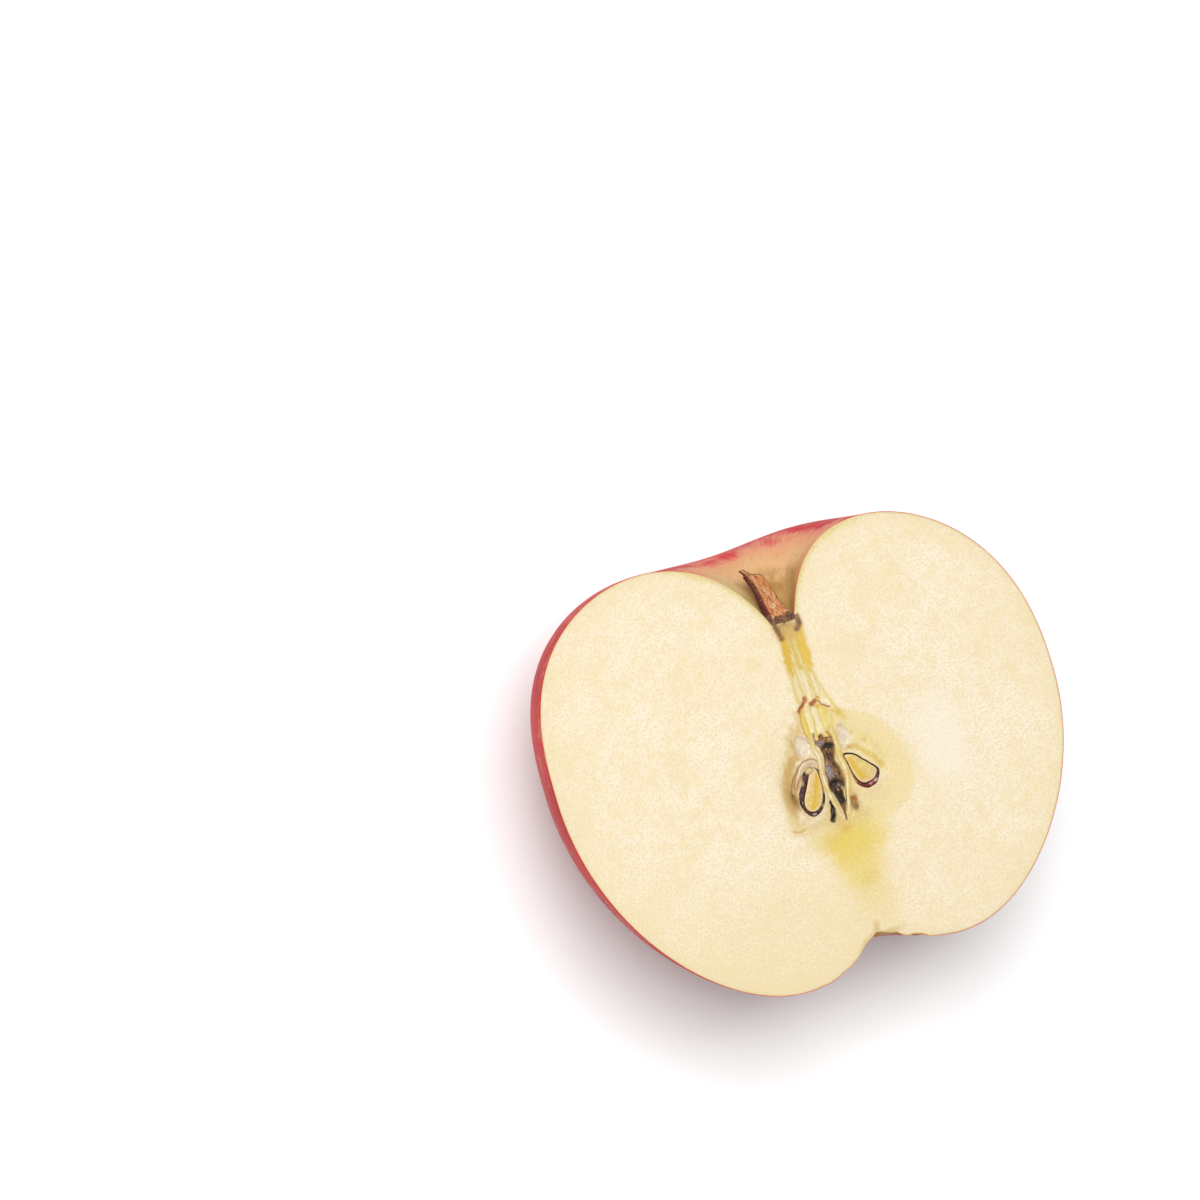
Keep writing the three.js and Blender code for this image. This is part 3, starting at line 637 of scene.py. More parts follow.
class Finish:
    """One material and the nodes that make it."""

    def __init__(self, name, **skin_settings):
        self.material = bpy.data.materials.new(name)
        self.material.use_nodes = True
        self.nodes = self.material.node_tree.nodes
        self.links = self.material.node_tree.links
        self.shader = self.nodes["Principled BSDF"]
        self.place = self.nodes.new("ShaderNodeTexCoord").outputs["Object"]
        for socket, value in skin_settings.items():
            self.shader.inputs[socket.replace("_", " ")].default_value = value

    def put(self, socket, value):
        """Gives a socket a value, or a link to another socket."""
        if isinstance(value, bpy.types.NodeSocket):
            self.links.new(value, socket)
        else:
            socket.default_value = value

    def mask(self, name):
        """A named mask of the mesh."""
        node = self.nodes.new("ShaderNodeAttribute")
        node.attribute_name = name
        return node.outputs["Fac"]

    def noise(self, per_mm, detail=3.0, distortion=0.0, stretch=None, place=None):
        """Noise with so many lumps per millimetre."""
        node = self.nodes.new("ShaderNodeTexNoise")
        node.inputs["Scale"].default_value = per_mm / MM
        node.inputs["Detail"].default_value = detail
        node.inputs["Distortion"].default_value = distortion
        self.put(node.inputs["Vector"], self.stretched(stretch, place))
        return node.outputs["Fac"]

    def stretched(self, stretch, place=None):
        """The place on the piece, stretched along its axes."""
        place = place or self.place
        if stretch is None:
            return place
        node = self.nodes.new("ShaderNodeMapping")
        node.inputs["Scale"].default_value = stretch
        self.put(node.inputs["Vector"], place)
        return node.outputs["Vector"]

    def ramp(self, value, low, high, start=0.0, end=1.0):
        """A smooth step from start to end, as the value goes from low to high."""
        node = self.nodes.new("ShaderNodeMapRange")
        node.interpolation_type = "SMOOTHSTEP"
        for key, limit in (("From Min", low), ("From Max", high), ("To Min", start), ("To Max", end)):
            node.inputs[key].default_value = limit
        self.put(node.inputs["Value"], value)
        return node.outputs["Result"]

    def sum(self, operation, a, b):
        """Two values put through a Math node."""
        node = self.nodes.new("ShaderNodeMath")
        node.operation = operation
        self.put(node.inputs[0], a)
        self.put(node.inputs[1], b)
        return node.outputs["Value"]

    def blend(self, amount, under, over, kind="MIX"):
        """One colour laid over another by an amount."""
        node = self.nodes.new("ShaderNodeMix")
        node.data_type = "RGBA"
        node.blend_type = kind
        self.put(node.inputs[0], amount)
        self.put(node.inputs[6], under)
        self.put(node.inputs[7], over)
        return node.outputs[2]

    def lay(self, under, look, value, low, high, most=1.0):
        """A look laid over a colour as a value goes from low to high, by so much at the most."""
        return self.blend(self.ramp(value, low, high, 0, most), under, paint(*look))

    def bump(self, height, depth_mm, under=None):
        """A surface raised by a height, on top of another bump if there is one."""
        node = self.nodes.new("ShaderNodeBump")
        node.inputs["Distance"].default_value = depth_mm * MM
        self.put(node.inputs["Height"], height)
        if under is not None:
            self.put(node.inputs["Normal"], under)
        return node.outputs["Normal"]


cut_flesh = Finish("cut flesh", IOR=1.4, Subsurface_Weight=0.35, Subsurface_Scale=0.0012)
cut_flesh.shader.inputs["Subsurface Radius"].default_value = (1.0, 0.72, 0.4)
colour = cut_flesh.blend(cut_flesh.ramp(cut_flesh.noise(0.11, 4.0), 0.3, 0.7),
                         paint(254, 242, 220), paint(251, 236, 206))
worms = cut_flesh.noise(0.55, 4.0, 0.9)
colour = cut_flesh.lay(colour, (245, 226, 180), worms, 0.42, 0.68, 0.55)
specks = cut_flesh.noise(2.7, 3.0)
colour = cut_flesh.lay(colour, (241, 221, 174), specks, 0.44, 0.66, 0.8)
colour = cut_flesh.lay(colour, (244, 223, 172), cut_flesh.noise(0.16, 5.0, 1.2), 0.50, 0.66, 0.3)
for mask_name, stain, strength in (("warm", (242, 223, 177), 0.75), ("ring_line", (228, 208, 154), 0.35),
                                   ("well_edge", (232, 211, 130), 0.9)):
    amount = cut_flesh.sum("MULTIPLY", cut_flesh.mask(mask_name), strength)
    uneven = cut_flesh.sum("MULTIPLY", amount, cut_flesh.ramp(specks, 0.40, 0.62, 0.55, 1.40))
    colour = cut_flesh.blend(uneven, colour, paint(*stain))
# The tint, stains and painted shade together, is laid over the flesh as far as its cover reaches.
stains_and_shade = cut_flesh.nodes.new("ShaderNodeAttribute")
stains_and_shade.attribute_name = "tint"
stain_and_shade_amount = cut_flesh.sum("ADD", cut_flesh.mask("cover"), cut_flesh.ramp(worms, 0.3, 0.7, -0.04, 0.04))
colour = cut_flesh.blend(cut_flesh.ramp(stain_and_shade_amount, 0.05, 0.95), colour, stains_and_shade.outputs["Color"])
streaky = cut_flesh.sum("MULTIPLY", cut_flesh.mask("cover"), cut_flesh.ramp(specks, 0.40, 0.66, 0, 0.14))
colour = cut_flesh.blend(streaky, colour, paint(206, 166, 96), "MULTIPLY")
cut_flesh.put(cut_flesh.shader.inputs["Base Color"], colour)
cut_flesh.put(cut_flesh.shader.inputs["Roughness"],
              cut_flesh.ramp(cut_flesh.mask("moist"), 0, 1, 0.52, 0.40))
cells = cut_flesh.bump(cut_flesh.noise(2.6, 3.0), 0.025)
cut_flesh.put(cut_flesh.shader.inputs["Normal"], cut_flesh.bump(worms, 0.02, cells))
flesh.data.materials.append(cut_flesh.material)
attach(flesh, "root")
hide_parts("body_half")

# ---------------------------------------------------------------------------------------------
# Peel. A thin, waxy red skin over the flesh, cut through at the rim, with pale pores and fine
# streaks from stem to calyx, tan and russeted inside the stem well. It is grown on the flesh.
PEEL_INSET, PEEL_THICKNESS = 0.02, 0.25
PEEL_ROWS, PEEL_COLUMNS = 170, 120
PEEL_CROWDING = 1.5
FOOT_SLOPE = 0.02
WELL_RADIUS, BASIN_RADIUS = 9.5, 9.0
PORES_PER_MM = 0.42

share = np.linspace(0, 1, PEEL_ROWS + 1)[1:-1]
pull, push = share ** PEEL_CROWDING, (1 - share) ** PEEL_CROWDING
peel_swing = math.pi * pull / (pull + push)
peel_azimuth = np.linspace(0, math.pi, PEEL_COLUMNS + 1)
swing, azimuth = np.meshgrid(peel_swing, peel_azimuth, indexing="ij")
peel_points, peel_edges, peel_faces = [], [], []
mask_rows = {"azimuth": [], "swing": [], "well": [], "basin": [], "cut": []}
for inset in (PEEL_INSET, PEEL_THICKNESS):
    first = sum(len(p) for p in peel_points)
    sheet_points = under_skin(swing, azimuth, inset).reshape(-1, 3)
    poles = under_skin(np.array((0, math.pi)), np.full(2, math.pi / 2), inset)
    poles[:, (0, 2)] = 0
    peel_points += [sheet_points, poles]
    grid = first + np.arange(swing.size).reshape(swing.shape)
    stem_pole, calyx_pole = first + swing.size, first + swing.size + 1
    quads = grid_faces(grid)
    fans = [(stem_pole, b, a) for a, b in zip(grid[0][:-1], grid[0][1:])]
    fans += [(calyx_pole, a, b) for a, b in zip(grid[-1][:-1], grid[-1][1:])]
    if inset == PEEL_INSET:
        quads, fans = quads[:, ::-1], [fan[::-1] for fan in fans]
    peel_faces += quads.tolist() + fans
    peel_edges.append(np.concatenate(([stem_pole], grid[:, 0], [calyx_pole], grid[::-1, -1])))
    radius, _ = skin_radius_height(swing, azimuth)
    up = np.cos(swing) > 0
    values = {"azimuth": azimuth, "swing": swing,
              "well": np.where(up, np.exp(-(radius / WELL_RADIUS) ** 2.2), 0),
              "basin": np.where(up, 0, np.exp(-(radius / BASIN_RADIUS) ** 2)),
              "cut": np.full(swing.shape, float(inset == PEEL_THICKNESS))}
    for key, value in values.items():
        ends = {"azimuth": (1.5, 1.5), "swing": (0, math.pi), "well": (1, 0), "basin": (0, 1),
                "cut": (values["cut"][0, 0],) * 2}[key]
        mask_rows[key].append(np.concatenate((value.reshape(-1), ends)))
outer, inner = peel_edges
peel_faces += np.stack((outer, inner, np.roll(inner, -1), np.roll(outer, -1)), -1).tolist()
peel_points = np.concatenate(peel_points)
foot = under_foot(peel_points[:, 0], peel_points[:, 1])
above_foot = np.maximum(peel_points[:, 2] + foot, 0)
peel_points[:, 2] -= above_foot * (1 - FOOT_SLOPE)
peel = body_of_points("peel", peel_points, peel_faces,
                      {key: np.concatenate(rows) for key, rows in mask_rows.items()}, crisp=peel_edges)

waxy_peel = Finish("waxy peel", Roughness=0.45, IOR=1.45, Specular_IOR_Level=0.05,
                   Subsurface_Weight=0.05, Subsurface_Scale=0.001)
ways = waxy_peel.nodes.new("ShaderNodeCombineXYZ")
waxy_peel.put(ways.inputs["X"], waxy_peel.mask("azimuth"))
waxy_peel.put(ways.inputs["Y"], waxy_peel.mask("swing"))
ways = ways.outputs["Vector"]
streaks = waxy_peel.noise(0.001, 5.0, 0.3, (26.0, 2.2, 1.0), ways)
fine_streaks = waxy_peel.noise(0.001, 4.0, 0.2, (95.0, 5.0, 1.0), ways)
wrinkles = waxy_peel.noise(0.001, 5.0, 1.4, (7.0, 70.0, 1.0), ways)
clouds = waxy_peel.noise(0.05, 4.0)
patches = waxy_peel.noise(0.22, 4.0, 0.6)
outside = waxy_peel.ramp(waxy_peel.mask("well"), 0.01, 0.22, 1, 0)
colour = waxy_peel.blend(waxy_peel.ramp(clouds, 0.35, 0.7), paint(208, 8, 30), paint(236, 42, 52))
for way, low, high, most, look in ((streaks, 0.42, 0.66, 0.45, (224, 88, 82)),
                                   (fine_streaks, 0.48, 0.70, 0.42, (232, 138, 112))):
    streaked = waxy_peel.sum("MULTIPLY", outside, waxy_peel.ramp(way, low, high, 0, most))
    colour = waxy_peel.blend(streaked, colour, paint(*look))
colour = waxy_peel.lay(colour, (150, 8, 30), waxy_peel.noise(1.6, 3.0), 0.35, 0.7, 0.3)
well = waxy_peel.sum("ADD", waxy_peel.mask("well"), waxy_peel.ramp(patches, 0.3, 0.7, -0.10, 0.10))
well = waxy_peel.sum("ADD", well, waxy_peel.ramp(streaks, 0.3, 0.7, -0.035, 0.035))
for low, high, look in ((0.02, 0.15, (226, 110, 98)), (0.08, 0.30, (234, 166, 124)),
                        (0.28, 0.58, (230, 182, 132)), (0.60, 0.90, (180, 138, 78))):
    colour = waxy_peel.lay(colour, look, well, low, high)
flecks = waxy_peel.sum("MULTIPLY", waxy_peel.ramp(wrinkles, 0.56, 0.72),
                       waxy_peel.ramp(well, 0.06, 0.5, 0, 0.4))
colour = waxy_peel.blend(flecks, colour, paint(178, 140, 84))
russet = waxy_peel.sum("MULTIPLY", waxy_peel.ramp(waxy_peel.noise(0.8, 5.0, 0.6), 0.54, 0.70),
                       waxy_peel.ramp(well, 0.25, 0.8, 0, 0.4))
colour = waxy_peel.blend(russet, colour, paint(160, 130, 72))
# The right wall of the stem well, beside the cut, is painted a lighter peach: painted light on that wall.
# The left wall is painted a yellower tan.
for low, high, look in ((0.40, 0.05, (230, 158, 106)), (2.0, 2.9, (212, 194, 138))):
    wall_side = waxy_peel.sum("MULTIPLY", waxy_peel.ramp(waxy_peel.mask("azimuth"), low, high, 0, 0.75),
                              waxy_peel.ramp(well, 0.22, 0.5))
    colour = waxy_peel.blend(wall_side, colour, paint(*look))
colour = waxy_peel.lay(colour, (178, 122, 66), well, 0.93, 1.03)
basin = waxy_peel.sum("ADD", waxy_peel.mask("basin"), waxy_peel.ramp(streaks, 0.3, 0.7, -0.12, 0.12))
colour = waxy_peel.lay(colour, (214, 172, 96), basin, 0.25, 0.8, 0.85)
pores = waxy_peel.nodes.new("ShaderNodeTexVoronoi")
pores.inputs["Scale"].default_value = PORES_PER_MM / MM
waxy_peel.put(pores.inputs["Vector"], waxy_peel.place)
pore = waxy_peel.ramp(pores.outputs["Distance"], 0.07, 0.13, 1, 0)
pore = waxy_peel.sum("MULTIPLY", pore, waxy_peel.ramp(well, 0.1, 0.3, 0.85, 0))
colour = waxy_peel.blend(pore, colour, paint(234, 178, 150))
cut_edge = waxy_peel.mask("cut")
colour = waxy_peel.lay(colour, (238, 216, 160), cut_edge, 0.22, 0.62)
waxy_peel.put(waxy_peel.shader.inputs["Base Color"], colour)
waxy_peel.put(waxy_peel.shader.inputs["Normal"],
              waxy_peel.bump(waxy_peel.noise(0.35, 3.0), 0.12, waxy_peel.bump(pore, 0.02)))
peel.data.materials.append(waxy_peel.material)
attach(peel, "root")

# ---------------------------------------------------------------------------------------------
# Stem. Half of a short woody stem, split by the same cut: orange-brown fibres on its face, dark
# bark behind, a ragged end where it snapped off, and a dark foot that is grown into the core.
STEM_LEFT = [(-1.95, 25.9), (-1.8, 27.0), (-1.85, 28.0), (-2.2, 29.3), (-2.3, 30.8), (-2.55, 32.3),
             (-3.15, 33.8), (-3.85, 34.9), (-4.35, 35.45), (-4.45, 35.7)]
STEM_RIGHT = [(2.25, 25.9), (2.2, 26.8), (1.75, 27.4), (1.1, 28.1), (0.3, 29.5), (-0.05, 31.0),
              (-0.5, 32.5), (-0.9, 33.6), (-1.4, 34.3), (-2.2, 34.5), (-3.0, 34.8), (-3.45, 35.2),
              (-3.75, 35.5), (-3.95, 35.7)]
STEM_ROWS, STEM_FACE_COLUMNS, STEM_BARK_COLUMNS = 150, 40, 44
STEM_DEPTH, STEM_DROP, STEM_BULGE = 1.75, 0.10, 1.5
STEM_TONGUES = ((-0.80, 0.22, 1.9), (0.78, 0.24, 1.3))  # place from side to side, width and length
FOOT_SQUEEZE, FIBRE_DEPTH = 0.22, 0.13
BARK_GROOVES = 7

low, high = STEM_LEFT[0][1], STEM_LEFT[-1][1]
row_y = low + (high - low) * (1 - (1 - np.linspace(0, 1, STEM_ROWS)) ** 1.25)
row_left = edge_at(row_y, STEM_LEFT) + 0.05 * lumps(row_y, 0, 0.8, 31)
row_right = edge_at(row_y, STEM_RIGHT) + 0.07 * lumps(row_y, 0, 0.6, 33)
half_width = np.maximum((row_right - row_left) / 2, 0.04)[:, None]
middle, row_y = ((row_left + row_right) / 2)[:, None], row_y[:, None]


def tongue(across):
    """How far the stem's foot runs down into the core, from its left side, -1, to its right, 1."""
    reach = 0.35 * (1 + lumps(across * 3, 0, 0.5, 45))
    for place, wide, long in STEM_TONGUES:
        reach = reach + long * np.exp(-((across - place) / wide) ** 2)
    return reach


across_face = np.linspace(-1, 1, STEM_FACE_COLUMNS)[None, :]
bark_turn = np.linspace(0, math.pi, STEM_BARK_COLUMNS + 2)[1:-1][None, :]
across_bark = np.cos(bark_turn)
sunk = step_up(-row_y, -27.2, -25.9)
face_x = middle + half_width * across_face - FOOT_SQUEEZE * across_face * sunk * tongue(across_face)
face_y = row_y - sunk * tongue(across_face)
fibre = lumps((face_x - middle) * 3.0, face_y * 0.45, 0.9, 35)
torn = step_up(face_y, 33.2, 35.6)
face_grooves = FIBRE_DEPTH * (fibre + 1) * (0.6 + torn) + 0.05 * (1 + lumps(face_x, face_y, 0.5, 37))
face_z = -STEM_DROP - face_grooves * (1 - 0.6 * sunk)
groove = 1 + 0.05 * np.sin(BARK_GROOVES * bark_turn) + 0.05 * lumps(bark_turn * 2, row_y * 0.7, 0.6, 39)
deep = np.minimum(STEM_DEPTH, 1.9 * half_width + 0.25)
bulge = 1 + STEM_BULGE * np.sin(bark_turn) * (across_bark < 0)
bark_x = middle + half_width * across_bark * groove * bulge
bark_x = bark_x - FOOT_SQUEEZE * across_bark * sunk * tongue(across_bark)
bark_z = -STEM_DROP - deep * np.sin(bark_turn) ** 0.85 * groove
bark_y = row_y - sunk * tongue(across_bark) + 0.15 * torn[:, :1] * lumps(bark_turn * 3, row_y, 1.0, 41)
ring_x, ring_y = np.concatenate((face_x, bark_x), 1), np.concatenate((face_y, bark_y), 1)
ring_z = np.concatenate((face_z, bark_z), 1)
stem_points = np.stack((ring_x, ring_y, ring_z), -1).reshape(-1, 3)
around = STEM_FACE_COLUMNS + STEM_BARK_COLUMNS
grid = np.arange(STEM_ROWS * around).reshape(STEM_ROWS, around)
grid = np.concatenate((grid, grid[:, :1]), 1)
stem_faces = grid_faces(grid).tolist()
stem_faces += [grid[0, :-1][::-1].tolist(), grid[-1, :-1].tolist()]
on_face = np.zeros(ring_x.shape)
on_face[:, 1:STEM_FACE_COLUMNS - 1] = 1
side_way = np.concatenate((np.broadcast_to(across_face, face_x.shape),
                           np.broadcast_to(2 - bark_turn, bark_x.shape)), 1)
off_face = np.zeros(bark_x.shape)
stem = body_of_points("stem", stem_points, stem_faces, {
    "face": on_face.ravel(), "along": ring_y.ravel(), "across": side_way.ravel(),
    "fibre": np.concatenate((fibre, off_face), 1).ravel(),
    "foot": step_up(-(ring_y + 0.5 * lumps(ring_x, ring_y, 0.7, 43)), -28.0, -26.8).ravel(),
    "tongue": step_up(-(ring_y + 0.3 * lumps(ring_x, ring_y, 0.5, 47)), -26.3, -24.6).ravel(),
    "edge": np.concatenate((np.abs(across_face) ** 6 + 0 * face_x, off_face), 1).ravel()})

stem_wood = Finish("stem wood", Roughness=0.72, Specular_IOR_Level=0.35)
grain_way = stem_wood.nodes.new("ShaderNodeCombineXYZ")
stem_wood.put(grain_way.inputs["X"], stem_wood.mask("across"))
stem_wood.put(grain_way.inputs["Y"], stem_wood.mask("along"))
grain_way = grain_way.outputs["Vector"]
long_grain = stem_wood.noise(MM, 5.0, 0.8, (5.0, 0.9, 1), grain_way)
flecks = stem_wood.noise(MM, 4.0, 1.5, (2.4, 1.1, 1), grain_way)
face_paint = stem_wood.blend(stem_wood.ramp(long_grain, 0.40, 0.60), paint(194, 112, 56),
                             paint(226, 158, 104))
face_paint = stem_wood.lay(face_paint, (234, 204, 166), flecks, 0.55, 0.64, 0.85)
face_paint = stem_wood.lay(face_paint, (98, 50, 34), long_grain, 0.41, 0.32, 0.85)
face_paint = stem_wood.lay(face_paint, (124, 64, 40), stem_wood.mask("edge"), 0.3, 0.9, 0.7)
bark_paint = stem_wood.blend(stem_wood.ramp(flecks, 0.45, 0.62), paint(104, 38, 38), paint(136, 86, 46))
colour = stem_wood.blend(stem_wood.mask("face"), bark_paint, face_paint)
foot_paint = stem_wood.blend(stem_wood.ramp(flecks, 0.42, 0.58), paint(92, 60, 50), paint(140, 98, 58))
colour = stem_wood.blend(stem_wood.ramp(stem_wood.mask("foot"), 0.2, 0.8), colour, foot_paint)
tongue_paint = stem_wood.blend(stem_wood.ramp(flecks, 0.42, 0.6), paint(134, 98, 60), paint(188, 146, 88))
tongue_side = stem_wood.ramp(stem_wood.sum("ABSOLUTE", stem_wood.mask("across"), 0.0), 0.5, 0.8)
tongue_paint = stem_wood.blend(tongue_side, paint(208, 176, 120), tongue_paint)
colour = stem_wood.blend(stem_wood.ramp(stem_wood.mask("tongue"), 0.0, 0.35), colour, tongue_paint)
stem_wood.put(stem_wood.shader.inputs["Base Color"], colour)
stem_wood.put(stem_wood.shader.inputs["Normal"], stem_wood.bump(long_grain, 0.25))
stem.data.materials.append(stem_wood.material)
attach(stem, "root")
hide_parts("stem_half")

# ---------------------------------------------------------------------------------------------
# Seed coats. Two seeds were cut through. Each coat is a thin, glossy, purple-black cup that is
# left in its cell, thick at one side and almost worn away at the other.
LEFT_COAT_INSIDE = [(-3.25, 2.75), (-4.2, 1.2), (-5.0, -0.2), (-5.35, -1.4), (-5.15, -2.4),
                    (-4.5, -3.05), (-3.5, -3.0), (-2.55, -2.35), (-1.98, -1.3), (-1.7, 0.0),
                    (-1.66, 1.3), (-1.72, 3.0), (-2.1, 3.75), (-2.9, 3.55)]
RIGHT_COAT_INSIDE = [(3.25, 3.9), (3.44, 2.35), (3.64, 1.0), (3.9, -0.2), (4.4, -0.9), (5.2, -1.4),
                     (6.3, -1.4), (7.35, -0.95), (7.9, 0.1), (6.98, 1.3), (5.88, 2.4), (4.72, 3.5)]
COAT_DEPTH, COAT_FLOOR = 1.75, 0.45
COAT_OUTER_LIP, COAT_INNER_LIP, COAT_TOP = 0.06, 0.16, 0.06
COAT_SIDES, COAT_RINGS = 120, 14
TIP_DROP = 0.30
HUSK_COLOURS_AND_HIGHLIGHTS = {  # soft spots of another colour on the coats, and pale painted highlights along their lips
    "maroon": [((6.3, -1.9), (1.7, 0.8)), ((4.1, -1.2), (0.7, 1.0)), ((3.4, 1.0), (0.3, 1.8))],
    "tan": [((-4.7, 1.9), (0.5, 0.9)), ((-1.65, 0.6), (0.3, 2.0)), ((-2.3, -2.6), (0.5, 0.5)),
            ((7.4, -1.5), (0.5, 0.3)), ((3.35, 2.7), (0.6, 1.6)), ((3.65, 0.4), (0.6, 1.6))],
    "painted_highlight": [((6.05, -1.72), (0.42, 0.24)), ((7.15, -1.42), (0.38, 0.24)), ((-5.6, -0.9), (0.14, 0.5)),
              ((-4.2, -3.44), (0.6, 0.18))],
}


def loop_points(corners, share=1.0):
    """A smooth closed line, shrunk towards its middle."""
    mid, turns, reach = smooth_loop(corners, COAT_SIDES)
    return mid + share * reach[:, None] * np.stack((np.cos(turns), np.sin(turns)), -1)


def bowl_rings(corners, depth, lip, count=COAT_RINGS):
    """Rings of a bowl from just inside its middle out to its lip."""
    rings = []
    for k in range(1, count + 1):
        angle = math.pi / 2 * k / count
        ring = loop_points(corners, math.sin(angle))
        fall = lip + (depth - lip) * math.cos(angle)
        rings.append(np.concatenate((ring, np.full((len(ring), 1), -fall)), 1))
    return rings


def close_rings(rings, first_hub, last_hub):
    """One closed skin through rings, each end closed on a hub."""
    sides = len(rings[0])
    points = np.concatenate(rings + [[first_hub], [last_hub]])
    hub = len(points) - 2
    faces = []
    for r in range(len(rings) - 1):
        for k in range(sides):
            n = (k + 1) % sides
            faces.append((r * sides + k, (r + 1) * sides + k, (r + 1) * sides + n, r * sides + n))
    last = (len(rings) - 1) * sides
    faces += [(hub, k, (k + 1) % sides) for k in range(sides)]
    faces += [(hub + 1, last + (k + 1) % sides, last + k) for k in range(sides)]
    return points, faces


def tucked(x, y):
    """How much lower the tip of the left seed lies, under its curled lining."""
    return TIP_DROP * step_up(y, 2.7, 3.3) * (x < 0)


seed_husk = Finish("seed husk", Roughness=0.48, Specular_IOR_Level=0.3)
husk_marks = seed_husk.noise(1.3, 4.0, 0.8)
colour = seed_husk.blend(seed_husk.ramp(husk_marks, 0.4, 0.62), paint(50, 28, 24), paint(92, 60, 48))
# The maroon and tan spots are the coats' own colours. The last, pale grey-pink one is a painted highlight
# along the coats' lips.
for spot_name, look in (("maroon", (132, 46, 52)), ("tan", (188, 142, 84)), ("painted_highlight", (188, 160, 158))):
    ragged = seed_husk.ramp(husk_marks, 0.3, 0.7, -0.25, 0.25)
    amount = seed_husk.sum("ADD", seed_husk.mask(spot_name), ragged)
    colour = seed_husk.lay(colour, look, amount, 0.25, 0.75)
seed_husk.put(seed_husk.shader.inputs["Base Color"], colour)
seed_husk.put(seed_husk.shader.inputs["Normal"], seed_husk.bump(husk_marks, 0.15))
for side, outside, inside in (("left", LEFT_COAT, LEFT_COAT_INSIDE),
                              ("right", RIGHT_COAT, RIGHT_COAT_INSIDE)):
    outer_rings = bowl_rings(outside, COAT_DEPTH, COAT_OUTER_LIP)
    inner_rings = bowl_rings(inside, COAT_DEPTH - COAT_FLOOR, COAT_INNER_LIP)
    lip = outer_rings[-1] * 0.35 + inner_rings[-1] * 0.65
    lip[:, 2] = -COAT_TOP - 0.06 * (1 + lumps(lip[:, 0], lip[:, 1], 0.7, 51))
    outer_hub, inner_hub = outer_rings[0].mean(0), inner_rings[0].mean(0)
    points, faces = close_rings(outer_rings + [lip] + inner_rings[::-1], outer_hub, inner_hub)
    points[:, :2] += 0.05 * np.stack([lumps(points[:, 0], points[:, 1], 0.6, 53 + n) for n in (0, 1)], -1)
    points[:, 2] -= tucked(points[:, 0], points[:, 1])
    husk_spots = {key: sum(blot(points[:, 0], points[:, 1], mid, span) for mid, span in spots)
                  for key, spots in HUSK_COLOURS_AND_HIGHLIGHTS.items()}
    coat = body_of_points(f"seed_coat_{side}_skin", points, [face[::-1] for face in faces], husk_spots)
    coat.data.materials.append(seed_husk.material)
    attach(coat, "root")
    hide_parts(f"seed_coat_{side}")

# ---------------------------------------------------------------------------------------------
# Seed kernels. The waxy yellow insides of the two seeds, cut flat and a little proud in the
# middle, each lying in its coat.
LEFT_KERNEL = [(-3.2, 2.65), (-4.15, 0.9), (-4.95, -0.48), (-5.28, -1.6), (-5.0, -2.5), (-4.3, -2.97),
               (-3.4, -2.9), (-2.55, -2.2), (-2.0, -1.1), (-1.74, 0.3), (-1.72, 1.6), (-1.76, 2.9),
               (-2.15, 3.65), (-2.85, 3.4)]
RIGHT_KERNEL = [(3.3, 3.75), (3.52, 2.6), (3.7, 1.5), (4.0, 0.25), (4.5, -0.75), (5.3, -1.3), (6.4, -1.25),
                (7.25, -0.85), (7.78, 0.1), (6.95, 1.22), (5.84, 2.34), (4.7, 3.42)]
KERNEL_DEPTH, KERNEL_LIP = 1.15, 0.24
KERNEL_RIM_DROP, KERNEL_CROWN, STREAK_DIP = 0.22, 0.11, 0.05
KERNEL_SHARES = (1.0, 0.95, 0.89, 0.82, 0.74, 0.66, 0.56, 0.46, 0.36, 0.26, 0.16, 0.07)

seed_meat = Finish("seed kernel", Roughness=0.46, IOR=1.45, Subsurface_Weight=0.15,
                   Subsurface_Scale=0.0006)
rind = seed_meat.mask("rind")
streak = seed_meat.mask("streak")
pale = seed_meat.mask("pale")
colour = seed_meat.blend(seed_meat.ramp(seed_meat.noise(1.2, 4.0, 0.8), 0.35, 0.7), paint(233, 208, 134),
                         paint(222, 188, 104))
colour = seed_meat.lay(colour, (226, 185, 68), streak, 0.2, 0.85, 0.95)
colour = seed_meat.lay(colour, (231, 198, 152), pale, 0.2, 0.8, 0.9)
colour = seed_meat.lay(colour, (238, 216, 158), rind, 0.84, 0.93, 0.6)
colour = seed_meat.lay(colour, (170, 120, 62), rind, 0.955, 1.0, 0.7)
seed_meat.put(seed_meat.shader.inputs["Base Color"], colour)
seed_meat.put(seed_meat.shader.inputs["Normal"], seed_meat.bump(seed_meat.noise(2.2, 3.0), 0.08))
